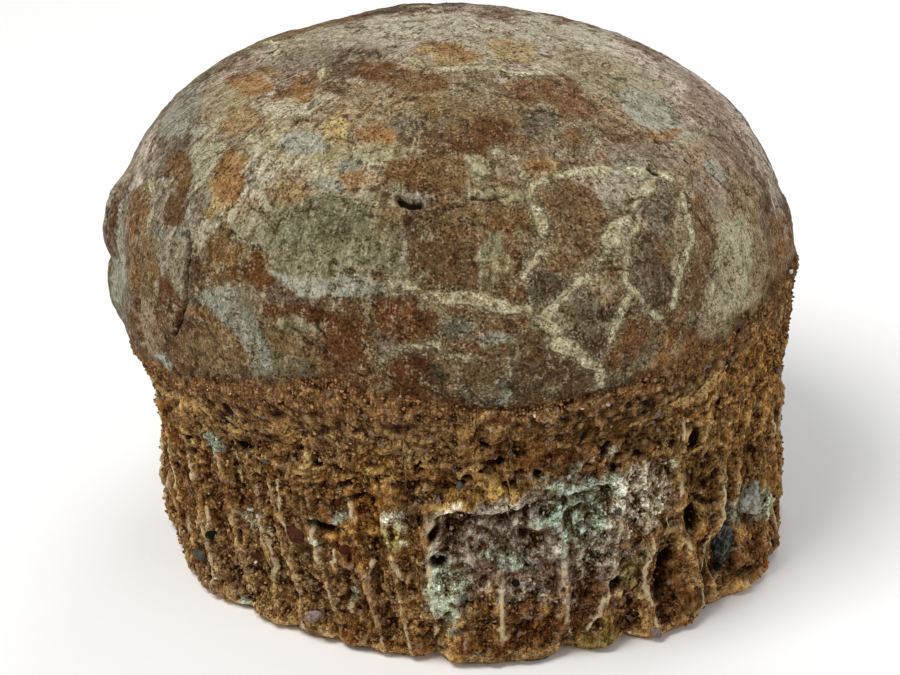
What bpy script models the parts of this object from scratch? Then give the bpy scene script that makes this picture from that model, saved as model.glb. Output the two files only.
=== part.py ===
"""Fossil dinosaur egg, still seated in the block of sandstone matrix that it was dug out with.

The egg is a squashed ovoid of crushed shell cemented over its stone filling. It sits a little
over half out of the block. The block was trimmed by hand, so its sides are fluted with chisel
scoops, its lower edge is lobed, and its underside is flat. Two pebbles stand in pockets in its
right-hand side. The origin is the middle of the underside, +Z is up, and -Y is the front.
Shapes are worked out in millimetres and scaled to metres at the end.
"""

import bisect
import math
import random

import bmesh
import bpy
from mathutils import Matrix, Vector, noise

MM = 0.001

# Driving dimensions, in millimetres. Azimuths are in degrees round +Z: 0 is the front and 90 the right.
EGG_RADII = Vector((82.4, 76.4, 54.4))
EGG_CENTRE = Vector((-5.0, 0.0, 72.0))
EGG_SQUARENESS = 2.17  # 2 is a true ellipse; a little more fills out the shoulders
EGG_SUBDIVISIONS = 5
BURIED_KEEP = 0.28  # share of the triangles kept on the buried part of the egg
SEAT_GAP = 0.35  # between the egg, or a pebble, and the block

COLUMNS_PER_SCOOP = 4
WALL_ROWS = 12
RIM_OVERRUN = 7.0  # how far the uncut wall runs on inside the egg
LOWER_EDGE_INSET = 2.2
LOWER_EDGE_HEIGHT = 3.0

# Height of the line where the block meets the egg, by azimuth.
RIM_HEIGHTS = [
    (-180, 63), (-140, 57), (-112, 51), (-90, 50), (-60, 57), (-40, 64), (-20, 68),
    (0, 67), (20, 68), (45, 70), (75, 70), (100, 69), (140, 66),
]
# How far the egg overhangs the block at that line.
OVERHANGS = [(-180, 2.0), (-120, 3.0), (-85, 3.6), (-45, 1.4), (0, 0.4), (30, 1.8), (60, 0.4), (90, 0.0), (140, 1.2)]
# Radius of the underside, by azimuth.
FOOT_RADII = [
    (-180, 75), (-150, 77), (-120, 78), (-90, 77), (-70, 76), (-58, 77.5), (-45, 75.5), (-30, 75.5), (-15, 75.5),
    (0, 77), (20, 76.5), (38, 79), (52, 79), (61, 81.5), (75, 79.5), (90, 79), (120, 77), (150, 76),
]

# Crests between the chisel scoops on the front half: azimuth at CREST_HEIGHT, and degrees of drift
# for each 10 mm down. The back half gets the same kind at uneven steps, worked out with a fixed seed.
FRONT_CRESTS = [
    (-88, 1.0), (-80, 1.5), (-71, 2.0), (-62, 3.0), (-54.5, 1.0), (-46, 1.0), (-38.5, 0.8), (-33.5, 1.3),
    (-26, 1.2), (-18.5, 1.6), (-13, 1.4), (-6.8, 0.8), (5, 0.2), (16.5, 0.3), (25, -1.2), (33, 0.4), (42, 1.6),
    (49, -0.3), (55, 0.4), (63, -0.6), (71, 0.5), (80, -0.4),
]
CREST_HEIGHT = 20.0
DRIFT_TOP = 45.0
BACK_CRESTS = (89.0, 263.0)
CREST_SPACING = (6.0, 11.0)
CREST_DRIFT = 0.7
SCOOP_DEPTHS = (1.2, 3.0)
SCOOP_TOPS = (36.0, 58.0)
SCOOP_FOOT = 9.0  # the scoops fade out below this height

# Notches between the lobes of the lower edge: azimuth, depth, half width, height.
NOTCHES = [
    (-59, 2.0, 4, 12), (-45, 2.6, 5, 14), (-34, 1.6, 4, 9), (-25, 2.4, 5, 12), (-19, 1.6, 4, 9), (-6.5, 5.0, 5, 15),
    (17.5, 4.6, 6, 14), (29, 5.0, 6, 17), (46.5, 4.0, 6, 15), (66, 2.4, 5, 12), (84, 3.0, 5, 14), (101, 4.0, 6, 15),
    (122, 3.2, 6, 13), (139, 4.4, 6, 16), (160, 3.0, 5, 12), (178, 4.2, 6, 15), (-163, 3.0, 6, 13), (-146, 4.2, 6, 15),
    (-127, 3.2, 5, 13), (-108, 3.8, 6, 15), (-88, 2.4, 5, 12), (-75, 2.0, 4, 10),
]
# Hollows knocked out of the side: azimuth, height, half width, half height, depth.
HOLLOWS = [
    (36, 14, 6.0, 9.5, 3.2), (42, 28, 4.0, 7.0, 2.6), (31, 62, 6.5, 4.0, 2.8), (52, 9, 5.0, 8.0, 2.6),
    (-66, 54, 7.0, 4.5, 1.8), (-33, 52, 9.0, 4.0, 1.4), (-20, 40, 7.0, 6.0, 1.8), (112, 30, 8.0, 10.0, 3.0),
    (150, 44, 9.0, 6.0, 2.6), (-160, 22, 8.0, 11.0, 3.0), (-122, 36, 9.0, 7.0, 2.4), (-92, 20, 5.0, 9.0, 1.6),
    (60, 50, 3.5, 9.0, 1.8), (-8, 47, 8.0, 4.0, 1.5), (84, 44, 10.0, 8.0, 1.5), (70, 13, 6.0, 5.0, 1.8),
]
# The broken grey face in the middle of the front, under a short overhang.
BROKEN_FACE_SPAN = (-7.0, 27.0)
BROKEN_FACE_TOPS = (42.0, 45.5)  # its upper edge climbs from left to right
BROKEN_FACE_LOW = 20.0
BROKEN_FACE_DEPTH = 3.4
BROKEN_FACE_SOFTEN = 3.0  # degrees over which its ends fade

LUMPS = [(19.0, 1.5), (8.0, 0.75)]  # sizes and heights of the lumps on the block
EGG_LUMPS = [(48.0, 1.5), (21.0, 0.7)]

# Slabs of shell that stand off the egg: azimuth, height, half width and half height along the surface, lift.
SHELL_SLABS = [
    (-84, 83, 9.0, 9.0, 2.6), (-86, 64, 10.0, 8.0, 1.7), (-46, 104, 15.0, 9.0, 0.9), (38, 100, 20.0, 10.0, 1.1),
    (86, 77, 13.0, 10.0, 2.2), (104, 80, 14.0, 12.0, 1.0), (150, 92, 20.0, 11.0, 1.1), (-140, 86, 18.0, 12.0, 1.2), (172, 74, 12.0, 8.0, 1.0),
]
# The open crack that runs down the egg's left: azimuth, lowest and highest height, half width, depth.
LEFT_CRACK = (-64.0, 58.0, 86.0, 3.6, 1.8)

# Pebbles: name, azimuth, height, half sizes, how far the middle is sunk, seed, colour, roughness.
PEBBLES = [
    ("dark_pebble", 53.6, 13.8, (3.2, 2.8, 5.4), 0.9, 7, "#2f302c", 0.45),
    ("green_pebble", 59.5, 23.0, (3.9, 3.1, 3.8), 1.1, 19, "#84897a", 0.8),
]
PEBBLE_SUBDIVISIONS = 2
PEBBLE_ROUGHNESS = 0.22


def ring_value(table, azimuth):
    """Smooth value round the ring: a periodic cubic through the table's (azimuth, value) points."""
    azimuth = (azimuth + 180.0) % 360.0 - 180.0
    count = len(table)
    after = bisect.bisect_right([point[0] for point in table], azimuth) % count
    corners = [table[(after + step) % count] for step in (-2, -1, 0, 1)]
    start, end = corners[1][0], corners[2][0]
    span = (end - start) % 360.0
    share = ((azimuth - start) % 360.0) / span
    a, b, c, d = (corner[1] for corner in corners)
    return b + 0.5 * share * (c - a + share * (2 * a - 5 * b + 4 * c - d + share * (3 * (b - c) + d - a)))


def ease(value):
    """0 below 0, 1 above 1, and smooth between."""
    value = min(1.0, max(0.0, value))
    return value * value * (3.0 - 2.0 * value)


def apart(a, b):
    """Signed angle from azimuth b to azimuth a, in degrees."""
    return (a - b + 180.0) % 360.0 - 180.0


def lumps(point, sizes, offset):
    """Sum of smooth lumps of the given sizes and heights."""
    total = 0.0
    for number, (size, height) in enumerate(sizes):
        total += height * noise.noise(point / size + Vector((offset, 7.3 * number, 1.7)))
    return total


def dome(distance_across, distance_up, half_width, half_height):
    """A soft-edged oval patch: 1 in its middle, 0 outside."""
    away = math.hypot(distance_across / half_width, distance_up / half_height)
    return ease(1.4 - away) if away < 1.4 else 0.0


# The egg


def egg_share(height):
    """The egg's girth at this height, as a share of its widest."""
    up = min(1.0, abs(height - EGG_CENTRE.z) / EGG_RADII.z)
    return (1.0 - up**EGG_SQUARENESS) ** (1.0 / EGG_SQUARENESS)


def egg_reach(azimuth, height):
    """Distance from the block's axis to the plain egg's surface, along an azimuth."""
    share = egg_share(height)
    angle = math.radians(azimuth)
    ahead = Vector((math.sin(angle) / EGG_RADII.x, -math.cos(angle) / EGG_RADII.y))
    start = Vector((-EGG_CENTRE.x / EGG_RADII.x, -EGG_CENTRE.y / EGG_RADII.y))
    square, half = ahead.length_squared, ahead.dot(start)
    root = half * half - square * (start.length_squared - share * share)
    return (math.sqrt(max(0.0, root)) - half) / square


def egg_relief(azimuth, height):
    """Height of the shell slabs, less the depth of the open crack, at a place on the egg."""
    around = math.radians(1.0) * EGG_RADII.x * egg_share(height)
    total = 0.0
    for slab_azimuth, slab_height, half_width, half_height, lift in SHELL_SLABS:
        across = apart(azimuth, slab_azimuth) * around
        total += lift * dome(across, height - slab_height, half_width, half_height)
    crack_azimuth, low, high, half_width, depth = LEFT_CRACK
    across = abs(apart(azimuth, crack_azimuth)) * around
    along = ease((height - low) / 6.0) * ease((high - height) / 6.0)
    return total - depth * along * ease(1.0 - across / half_width)


def egg_point(direction):
    """Point on the egg along a unit direction of the sphere that it is shaped from."""
    flat = math.hypot(direction.x, direction.y)
    size = (flat**EGG_SQUARENESS + abs(direction.z) ** EGG_SQUARENESS) ** (1.0 / EGG_SQUARENESS)
    plain = EGG_CENTRE + Vector(d * r / size for d, r in zip(direction, EGG_RADII))
    outward = Vector(d / r for d, r in zip(direction, EGG_RADII)).normalized()
    azimuth = math.degrees(math.atan2(plain.x - EGG_CENTRE.x, EGG_CENTRE.y - plain.y))
    return plain + outward * (lumps(plain, EGG_LUMPS, 3.1) + egg_relief(azimuth, plain.z))


# The block


def scoops():
    """Every scoop between two crests: (left crest, right crest, depth, top), in order of azimuth."""
    steps = random.Random(4)
    crests = list(FRONT_CRESTS)
    azimuth, end = BACK_CRESTS
    while azimuth < end:
        crests.append((azimuth, steps.uniform(-CREST_DRIFT, CREST_DRIFT)))
        azimuth += steps.uniform(*CREST_SPACING)
    crests = sorted((azimuth % 360.0, drift) for azimuth, drift in crests)
    crests.append((crests[0][0] + 360.0, crests[0][1]))
    return [
        (left, right, steps.uniform(*SCOOP_DEPTHS), steps.uniform(*SCOOP_TOPS))
        for left, right in zip(crests, crests[1:])
    ]


SCOOPS = scoops()


def crest_azimuth(crest, height):
    """Where a crest stands at a height: it drifts sideways as it runs down."""
    azimuth, drift = crest
    return azimuth + drift * (CREST_HEIGHT - min(height, DRIFT_TOP)) / 10.0


def scoop_place(number, share, height):
    """Azimuth of a place in a scoop: share 0 is its left crest and 1 its right crest."""
    left, right = (crest_azimuth(crest, height) for crest in SCOOPS[number][:2])
    return left + share * (right - left)


def scoop_depth(number, share, height):
    """Depth of a scoop, which fades out at its foot and its top."""
    depth, top = SCOOPS[number][2:]
    across = 2.0 * share - 1.0
    return depth * (1.0 - across * across) * ease(height / SCOOP_FOOT - 0.3) * ease((top - height) / 12.0 + 0.5)


def notch_depth(azimuth, height, radius):
    """Depth of the notches between the lobes of the lower edge."""
    total = 0.0
    for notch_azimuth, depth, half_width, notch_height in NOTCHES:
        across = abs(math.radians(apart(azimuth, notch_azimuth))) * radius / half_width
        if across < 1.0 and height < notch_height:
            total += depth * (1.0 - across) ** 1.5 * (1.0 - height / notch_height)
    return total


def hollow_depth(azimuth, height, radius):
    """Depth of the hollows knocked out of the side."""
    total = 0.0
    for hollow_azimuth, middle, half_width, half_height, depth in HOLLOWS:
        across = math.radians(apart(azimuth, hollow_azimuth)) * radius
        total += depth * dome(across, height - middle, half_width, half_height)
    return total


def broken_face_depth(azimuth, height):
    """Depth of the broken face in the front: deepest under its overhang, and running out below."""
    left, right = BROKEN_FACE_SPAN
    azimuth = apart(azimuth, 0.0)
    inside = ease((azimuth - left) / BROKEN_FACE_SOFTEN) * ease((right - azimuth) / BROKEN_FACE_SOFTEN)
    if inside == 0.0:
        return 0.0
    low_end, high_end = BROKEN_FACE_TOPS
    top = low_end + (high_end - low_end) * ease((azimuth - left) / (right - left))
    below = (top - height) / (top - BROKEN_FACE_LOW)
    return BROKEN_FACE_DEPTH * inside * ease(below * 6.0) * ease(1.0 - below)


def rim_height(azimuth):
    return ring_value(RIM_HEIGHTS, azimuth)


def wall_point(number, share, height):
    """Point on the block's side, at a place in one of its scoops."""
    azimuth = scoop_place(number, share, height)
    top = rim_height(azimuth)
    foot = ring_value(FOOT_RADII, azimuth)
    head = egg_reach(azimuth, top) - ring_value(OVERHANGS, azimuth)
    radius = foot + (head - foot) * ease(height / top)
    angle = math.radians(azimuth)
    outward = Vector((math.sin(angle), -math.cos(angle), 0.0))
    near_rim = ease((top - height) / 8.0)
    cut = scoop_depth(number, share, height) + hollow_depth(azimuth, height, radius)
    cut += notch_depth(azimuth, height, radius) + broken_face_depth(azimuth, height)
    place = outward * radius + Vector((0.0, 0.0, height))
    radius += 0.6 - cut * near_rim + lumps(place, LUMPS, 9.4) * (0.4 + 0.6 * near_rim)
    radius -= LOWER_EDGE_INSET * (1.0 - ease(height / LOWER_EDGE_HEIGHT)) ** 2
    return outward * radius + Vector((0.0, 0.0, height))


# Blender objects


def clear_scene():
    for old in list(bpy.data.objects):
        bpy.data.objects.remove(old, do_unlink=True)


def collection_named(name):
    collection = bpy.data.collections.new(name)
    bpy.context.scene.collection.children.link(collection)
    return collection


def colour_from_hex(text):
    """Linear colour from an sRGB hex value."""
    channels = [int(text[start : start + 2], 16) / 255.0 for start in (1, 3, 5)]
    return [c / 12.92 if c <= 0.04045 else ((c + 0.055) / 1.055) ** 2.4 for c in channels] + [1.0]


def stone_material(name, colour, roughness):
    material = bpy.data.materials.new(name)
    material.use_nodes = True
    shader = material.node_tree.nodes["Principled BSDF"]
    shader.inputs["Base Color"].default_value = colour_from_hex(colour)
    shader.inputs["Roughness"].default_value = roughness
    shader.inputs["Metallic"].default_value = 0.0
    return material


def object_from(name, shape, collection, material=None):
    """Makes an object from a bmesh in millimetres."""
    mesh = bpy.data.meshes.new(name)
    shape.transform(Matrix.Scale(MM, 4))
    bmesh.ops.recalc_face_normals(shape, faces=shape.faces)
    shape.to_mesh(mesh)
    shape.free()
    made = bpy.data.objects.new(name, mesh)
    collection.objects.link(made)
    if material:
        mesh.materials.append(material)
    return made


def baked(obj):
    """Puts an object's modifiers into its mesh."""
    graph = bpy.context.evaluated_depsgraph_get()
    obj.data = bpy.data.meshes.new_from_object(obj.evaluated_get(graph))
    obj.modifiers.clear()
    return obj


def grown_copy(obj, gap, collection):
    """A cutter: the object's mesh pushed out by the gap."""
    shape = bmesh.new()
    shape.from_mesh(obj.data)
    shape.normal_update()
    for vertex in shape.verts:
        vertex.co += vertex.normal * gap * MM
    shape.transform(Matrix.Scale(1.0 / MM, 4))
    cutter = object_from(obj.name + "_pocket", shape, collection)
    cutter.hide_render = True
    cutter.display_type = "WIRE"
    return cutter


def make_egg(collection):
    shape = bmesh.new()
    bmesh.ops.create_icosphere(shape, subdivisions=EGG_SUBDIVISIONS, radius=1.0)
    for vertex in shape.verts:
        vertex.co = egg_point(vertex.co.normalized())
    buried = []
    for vertex in shape.verts:
        azimuth = math.degrees(math.atan2(vertex.co.x, -vertex.co.y))
        if vertex.co.z < rim_height(azimuth) - 9.0:
            buried.append(vertex.index)
    egg = object_from("egg", shape, collection, stone_material("fossil_shell", "#7f6f57", 0.5))
    group = egg.vertex_groups.new(name="buried")
    group.add(buried, 1.0, "REPLACE")
    thin = egg.modifiers.new("Thin the buried part", "DECIMATE")
    thin.ratio = 1.0 - (1.0 - BURIED_KEEP) * len(buried) / len(egg.data.vertices)
    thin.vertex_group = group.name
    baked(egg)
    egg.data.shade_smooth()
    return egg


def make_pebble(name, azimuth, height, half_sizes, sunk, seed, material, collection):
    """A worn angular stone, set on the block's side and turned to face outwards."""
    shape = bmesh.new()
    bmesh.ops.create_icosphere(shape, subdivisions=PEBBLE_SUBDIVISIONS, radius=1.0)
    for vertex in shape.verts:
        bump = 1.0 + PEBBLE_ROUGHNESS * noise.noise(vertex.co * 1.3 + Vector((seed, 0.0, 0.0)))
        vertex.co = Vector(c * bump * half for c, half in zip(vertex.co, half_sizes))
    azimuth %= 360.0
    number = max(n for n, scoop in enumerate(SCOOPS) if crest_azimuth(scoop[0], height) <= azimuth)
    left, right = (scoop_place(number, share, height) for share in (0.0, 1.0))
    place = wall_point(number, (azimuth - left) / (right - left), height)
    inward = Vector((-place.x, -place.y, 0.0)).normalized()
    turn = Matrix.Rotation(math.radians(azimuth), 4, "Z")
    shape.transform(Matrix.Translation(place + inward * sunk) @ turn)
    pebble = object_from(name, shape, collection, material)
    pebble.data.shade_smooth()
    return pebble


def make_block(collection):
    """The block before anything is cut from it: a fluted drum whose top runs up inside the egg."""
    columns = len(SCOOPS) * COLUMNS_PER_SCOOP
    shape = bmesh.new()
    bmesh.ops.create_cone(
        shape, cap_ends=True, segments=columns, radius1=1.0, radius2=1.0, depth=1.0
    )
    bmesh.ops.translate(shape, verts=shape.verts, vec=(0.0, 0.0, 0.5))
    upright = [edge for edge in shape.edges if abs(edge.verts[0].co.z - edge.verts[1].co.z) > 0.5]
    bmesh.ops.subdivide_edges(shape, edges=upright, cuts=WALL_ROWS - 1)
    for vertex in shape.verts:
        column = round(math.atan2(vertex.co.x, -vertex.co.y) * columns / math.tau) % columns
        number, part = divmod(column, COLUMNS_PER_SCOOP)
        share = part / COLUMNS_PER_SCOOP
        row = round(vertex.co.z * WALL_ROWS)
        top = rim_height(scoop_place(number, share, 60.0))
        if row == WALL_ROWS:
            vertex.co = wall_point(number, share, top + 1.5)
            vertex.co -= Vector((vertex.co.x, vertex.co.y, 0.0)).normalized() * RIM_OVERRUN
        else:
            vertex.co = wall_point(number, share, top * (row / (WALL_ROWS - 1)) ** 1.15)
    lid = [face for face in shape.faces if len(face.verts) > 4 and face.calc_center_median().z > 10.0]
    bmesh.ops.poke(shape, faces=lid)
    return object_from("matrix", shape, collection, stone_material("sandstone_matrix", "#67492d", 0.9))


def cut(obj, cutter):
    carve = obj.modifiers.new("Seat of " + cutter.name, "BOOLEAN")
    carve.operation = "DIFFERENCE"
    carve.solver = "EXACT"
    carve.object = cutter


def main():
    clear_scene()
    parts = collection_named("Fossil dinosaur egg")
    cutters = collection_named("Cutters")
    egg = make_egg(parts)
    block = make_block(parts)
    cut(block, grown_copy(egg, SEAT_GAP, cutters))
    for name, azimuth, height, half_sizes, sunk, seed, colour, roughness in PEBBLES:
        material = stone_material(name, colour, roughness)
        pebble = make_pebble(name, azimuth, height, half_sizes, sunk, seed, material, parts)
        cut(block, grown_copy(pebble, SEAT_GAP, cutters))
    block.data.shade_smooth()


main()
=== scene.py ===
# %% [markdown]
# # A fossil dinosaur egg in its block of rock
#
# The object is a round dinosaur egg, about 17 cm wide, that was squashed a little in the ground, crushed into
# small plates of shell, and cemented by minerals into one stone. It still sits in the block of pebbly
# sandstone that it was dug out with. A preparator trimmed the block by hand, so its sides are fluted by a
# chisel, and wore the egg itself nearly smooth. This notebook gives each of those surfaces its real relief
# and its real colours. Lengths are in millimetres until a mesh is finished, and then in metres.

import math
import random

import bmesh
import bpy
import numpy as np
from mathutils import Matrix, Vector, noise


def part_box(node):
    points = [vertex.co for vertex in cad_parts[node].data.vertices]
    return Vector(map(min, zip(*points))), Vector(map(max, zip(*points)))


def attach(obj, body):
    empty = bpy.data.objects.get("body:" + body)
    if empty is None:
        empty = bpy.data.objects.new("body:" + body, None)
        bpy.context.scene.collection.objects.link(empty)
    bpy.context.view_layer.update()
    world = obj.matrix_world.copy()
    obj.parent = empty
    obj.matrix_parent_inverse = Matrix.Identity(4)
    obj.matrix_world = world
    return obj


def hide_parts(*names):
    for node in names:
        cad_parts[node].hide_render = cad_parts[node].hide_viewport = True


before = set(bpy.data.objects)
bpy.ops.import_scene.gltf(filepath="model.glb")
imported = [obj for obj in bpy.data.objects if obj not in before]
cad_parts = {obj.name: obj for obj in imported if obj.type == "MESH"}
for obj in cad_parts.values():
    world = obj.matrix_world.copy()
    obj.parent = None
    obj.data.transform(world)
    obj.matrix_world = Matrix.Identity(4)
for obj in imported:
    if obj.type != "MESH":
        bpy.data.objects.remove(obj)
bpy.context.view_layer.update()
print("nodes:", sorted(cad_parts))

# %% [markdown]
# ## The camera
#
# The camera comes first, because every later choice of detail depends on how large a millimetre looks. It
# looks down on the front of the egg by 25 degrees from 60 cm, through a lens just under 100 mm long. It is
# tipped down a little further, so that the block has room below the egg. Here one pixel is about a quarter of
# a millimetre, which is the finest grain worth modelling.

# %% Camera
MM = 0.001
EGG_CENTRE = np.array([-5.0, 0.0, 72.0])
VIEW_DISTANCE = 600.0
VIEW_HEIGHT = math.radians(25.0)
TIP_DOWN = math.radians(2.19)
LENS, SENSOR_WIDTH = 97.8, 36.0

camera_data = bpy.data.cameras.new("Camera")
camera_data.sensor_width, camera_data.lens = SENSOR_WIDTH, LENS
camera = bpy.data.objects.new("Camera", camera_data)
bpy.context.scene.collection.objects.link(camera)
behind = np.array([0.0, -math.cos(VIEW_HEIGHT), math.sin(VIEW_HEIGHT)])
camera.location = (EGG_CENTRE + behind * VIEW_DISTANCE) * MM
camera.rotation_euler = (math.radians(90.0) - VIEW_HEIGHT - TIP_DOWN, 0.0, 0.0)
bpy.context.scene.camera = camera
print("camera at", [round(v, 3) for v in camera.location])

# %% [markdown]
# ## Small tools
#
# Natural stone is noise at many sizes laid over a plain form. Three helpers do most of the work. `lumpy`
# gives soft noise with lumps of a chosen size, `cells` gives the cracked and grainy pattern of Voronoi cells,
# and `ease` is a soft step between two states. All of them take and return whole arrays of points, because
# there are a hundred thousand of them. The others measure angles, ovals and smooth curves.


# %% Noise and soft steps
def ease(value):
    """0 below 0, 1 above 1, and smooth between."""
    value = np.clip(value, 0.0, 1.0)
    return value * value * (3.0 - 2.0 * value)


def lumpy(points, size, seed=0.0, octaves=1):
    """Soft noise between about -1 and 1. Its lumps are `size` millimetres across."""
    places = (points / size + np.array([seed, 2.3 * seed, 0.7 * seed + 0.31])).tolist()
    if octaves == 1:
        return np.array([noise.noise(place) for place in places])
    return np.array([noise.fractal(place, 0.9, 2.1, octaves) for place in places])


def cells(points, size, seed=0.0):
    """Voronoi cells: each point's distance from its cell's middle and its border, and the cell's number."""
    middle, border, number = [], [], []
    for place in (points / size + seed).tolist():
        distances, centres = noise.voronoi(place)
        middle.append(distances[0])
        border.append(distances[1] - distances[0])
        number.append(noise.cell(centres[0] * 7.31))
    return np.array(middle), np.array(border), np.array(number)


def stacked_lumps(points, sizes, offset):
    """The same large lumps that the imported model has: sizes and heights, from the same noise."""
    total = np.zeros(len(points))
    for number, (size, height) in enumerate(sizes):
        places = (points / size + np.array([offset, 7.3 * number, 1.7])).tolist()
        total += height * np.array([noise.noise(place) for place in places])
    return total


def apart(a, b):
    """Signed angle from azimuth b to azimuth a, in degrees."""
    return (a - b + 180.0) % 360.0 - 180.0


def oval_reach(across, up, half_width, half_height, turn):
    """How far each place is from a turned oval's middle: 0 there, 1 on its outline."""
    angle = math.radians(turn)
    first = across * math.cos(angle) + up * math.sin(angle)
    second = up * math.cos(angle) - across * math.sin(angle)
    return np.hypot(first / half_width, second / half_height)


def curve_through(a, b, c, d, share):
    """A point on the smooth curve that passes through a, b, c and d, at a share of the way from b to c."""
    return b + 0.5 * share * (c - a + share * (2 * a - 5 * b + 4 * c - d + share * (3 * (b - c) + d - a)))


def blurred(values, shape, rounds):
    """Values on a mesh's points, each averaged with its neighbours a few times over."""
    pairs = np.array([[vertex.index for vertex in edge.verts] for edge in shape.edges])
    ends, others = np.concatenate([pairs, pairs[:, ::-1]]).T
    share = np.bincount(ends, minlength=len(values)) + 1.0
    for _ in range(rounds):
        values = (values + np.bincount(ends, values[others], len(values))) / share
    return values


def ring_value(table, azimuths):
    """Smooth value round the ring: a periodic cubic through the table's (azimuth, value) points."""
    starts = np.array([point[0] for point in table], float)
    values = np.array([point[1] for point in table], float)
    azimuths = (np.asarray(azimuths, float) + 180.0) % 360.0 - 180.0
    after = np.searchsorted(starts, azimuths, side="right") % len(table)
    a, b, c, d = (values[(after + step) % len(table)] for step in (-2, -1, 0, 1))
    start, end = starts[(after - 1) % len(table)], starts[after]
    return curve_through(a, b, c, d, ((azimuths - start) % 360.0) / ((end - start) % 360.0))


print("half way up a soft step:", ease(0.5))

# %% [markdown]
# ## Colours
#
# The stone's colours come from iron. Where iron has rusted the stone is brown, orange or deep red, and where
# it has been leached out it is grey or grey-green. Calcite and caliche that grew later in the cracks are
# pale green-grey, cream and white. Each colour is written as an sRGB hex value, and one function turns it into
# the linear light that a renderer adds up. The names are a painter's, and only tell near tones apart.
#
# The shell's values here, and the tone of each placed stain and plate further down, were not chosen by hand.
# A fitting program set them, from colours that it measured. The places in most of the tables below were
# marked as points, and a second program turned them into azimuths, latitudes and heights.

# %% Colour chart
CHART = {
    # The shell's.
    "straw": "#dbd4a1", "ochre_tan": "#b08f62", "tan": "#bcaf89", "warm_stone": "#c5c2aa",
    "grey_olive": "#848673", "umber": "#89673c", "slate": "#757e79", "rust_umber": "#75552c",
    "smoke": "#878a83", "dull_umber": "#715e42", "dark_slate": "#565647", "dark_rust": "#704b1e",
    "dark_olive": "#4e4f3c", "peat": "#563e27", "burnt_sienna": "#5b350b", "oat": "#c2bba7",
    "bone": "#d5d4bc", "lichen": "#a2a18c", "tobacco": "#8b724b", "khaki": "#92835e", "grey_bark": "#776f62",
    "ice_grey": "#bed1ce", "dusty_grey": "#c0c7b8", "pale_olive": "#b3b490", "green_cream": "#dfe7cb",
    # Chalk white is partly a white limy crust and partly painted sheen and rim light, where the dome is lit
    # most.
    "dusty_tan": "#ad9d92", "chalk_white": "#f9f9f9", "moss_grey": "#7e8a71", "dull_moss": "#969483",
    "warm_grey": "#7b766a", "mint_cream": "#dee9dd", "sage": "#98a386", "pale_sage": "#cdd8bd",
    "blue_ash": "#a4b6b2",
    # The rock's.
    "umber_dark": "#4d3620", "rust_brown": "#7c5735", "rust_orange": "#a06a36", "deep_rust": "#6c3d1e",
    "ochre_brown": "#96713f", "chalk": "#d6cdbc", "slate_light": "#78766c", "purple_grey": "#8a7870",
    "purple_brown": "#75564a", "grey_green_rock": "#9ba296", "pale_green_rock": "#b0b6a6",
    "grey_mud": "#a09489", "mauve_grey": "#917e75", "pink_grey": "#cbbaaa", "pink_chalk": "#dcc0ab",
    "sand_tan": "#9c7b54", "sand_orange": "#9c6f42", "gold_tan": "#96724a", "gold_clay": "#a07c46",
    "gold_orange": "#a0713c", "mauve_rock": "#755a48", "olive_rock": "#746434", "oxblood": "#4c2a1e",
    "lemon": "#a89b62", "slate_green": "#51564f", "black_chert": "#141615", "vein": "#bcc3a2",
    "vein_white": "#d8dfca", "lime": "#b8ad98", "sandstone": "#876340", "crest": "#dcc59c",
}


def linear(text):
    """Linear red, green and blue from an sRGB hex value."""
    channels = [int(text[start : start + 2], 16) / 255.0 for start in (1, 3, 5)]
    return np.array([c / 12.92 if c <= 0.04045 else ((c + 0.055) / 1.055) ** 2.4 for c in channels])


COLOUR = {name: linear(text) for name, text in CHART.items()}
print(len(COLOUR), "colours; umber in linear light:", COLOUR["umber"].round(3))

# %% [markdown]
# ## The egg's form
#
# The egg is a squashed ball: 165 mm wide, 153 mm deep and 109 mm high, with fuller shoulders than an
# ellipsoid. It starts as a cube with a fine grid on each side, blown out to a ball, because that has no
# poles where the mesh would bunch up. The grid is denser towards the front and above the rock, since what is
# buried never shows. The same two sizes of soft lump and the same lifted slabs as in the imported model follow.

# %% Egg form
EGG_RADII = np.array([82.4, 76.4, 54.4])
EGG_SQUARENESS = 2.17
EGG_CUTS = 127  # cuts along each edge of the cube
FRONT_BIAS = 0.24  # how much closer the grid stands at the front than at the back
UPPER_BIAS = 0.78  # vertical spacing above the rock, as a share of an even one
EGG_LUMPS = [(48.0, 1.5), (21.0, 0.7)]
# Slabs of shell: azimuth, height, half width, half height, lift.
SHELL_SLABS = [
    (-84, 83, 9, 9, 2.6), (-86, 64, 10, 8, 1.7), (-46, 104, 15, 9, 0.9), (38, 100, 20, 10, 1.1),
    (86, 77, 13, 10, 2.2), (104, 80, 14, 12, 1.0), (150, 92, 20, 11, 1.1), (-140, 86, 18, 12, 1.2),
    (172, 74, 12, 8, 1.0),
]
# The open crack on the left: azimuth, lowest and highest height, half width, depth.
LEFT_CRACK = (-64.0, 58.0, 86.0, 3.6, 1.8)


def egg_girth(height):
    """The egg's girth at a height, as a share of its widest."""
    up = np.clip(np.abs(height - EGG_CENTRE[2]) / EGG_RADII[2], 0.0, 1.0)
    return (1.0 - up**EGG_SQUARENESS) ** (1.0 / EGG_SQUARENESS)


def egg_directions(cube):
    """Unit directions from points on a cube, crowded towards the front and the top."""
    even = np.tan(cube * math.pi / 4.0)
    even /= np.linalg.norm(even, axis=1)[:, None]
    azimuth = np.arctan2(even[:, 0], -even[:, 1])
    azimuth -= FRONT_BIAS * np.sin(azimuth)
    turn = np.arccos(np.clip(even[:, 2], -1.0, 1.0)) / math.pi
    turn = UPPER_BIAS * turn + (1.0 - UPPER_BIAS) * turn**5
    flat = np.sin(turn * math.pi)
    return np.column_stack([flat * np.sin(azimuth), -flat * np.cos(azimuth), np.cos(turn * math.pi)])


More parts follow.
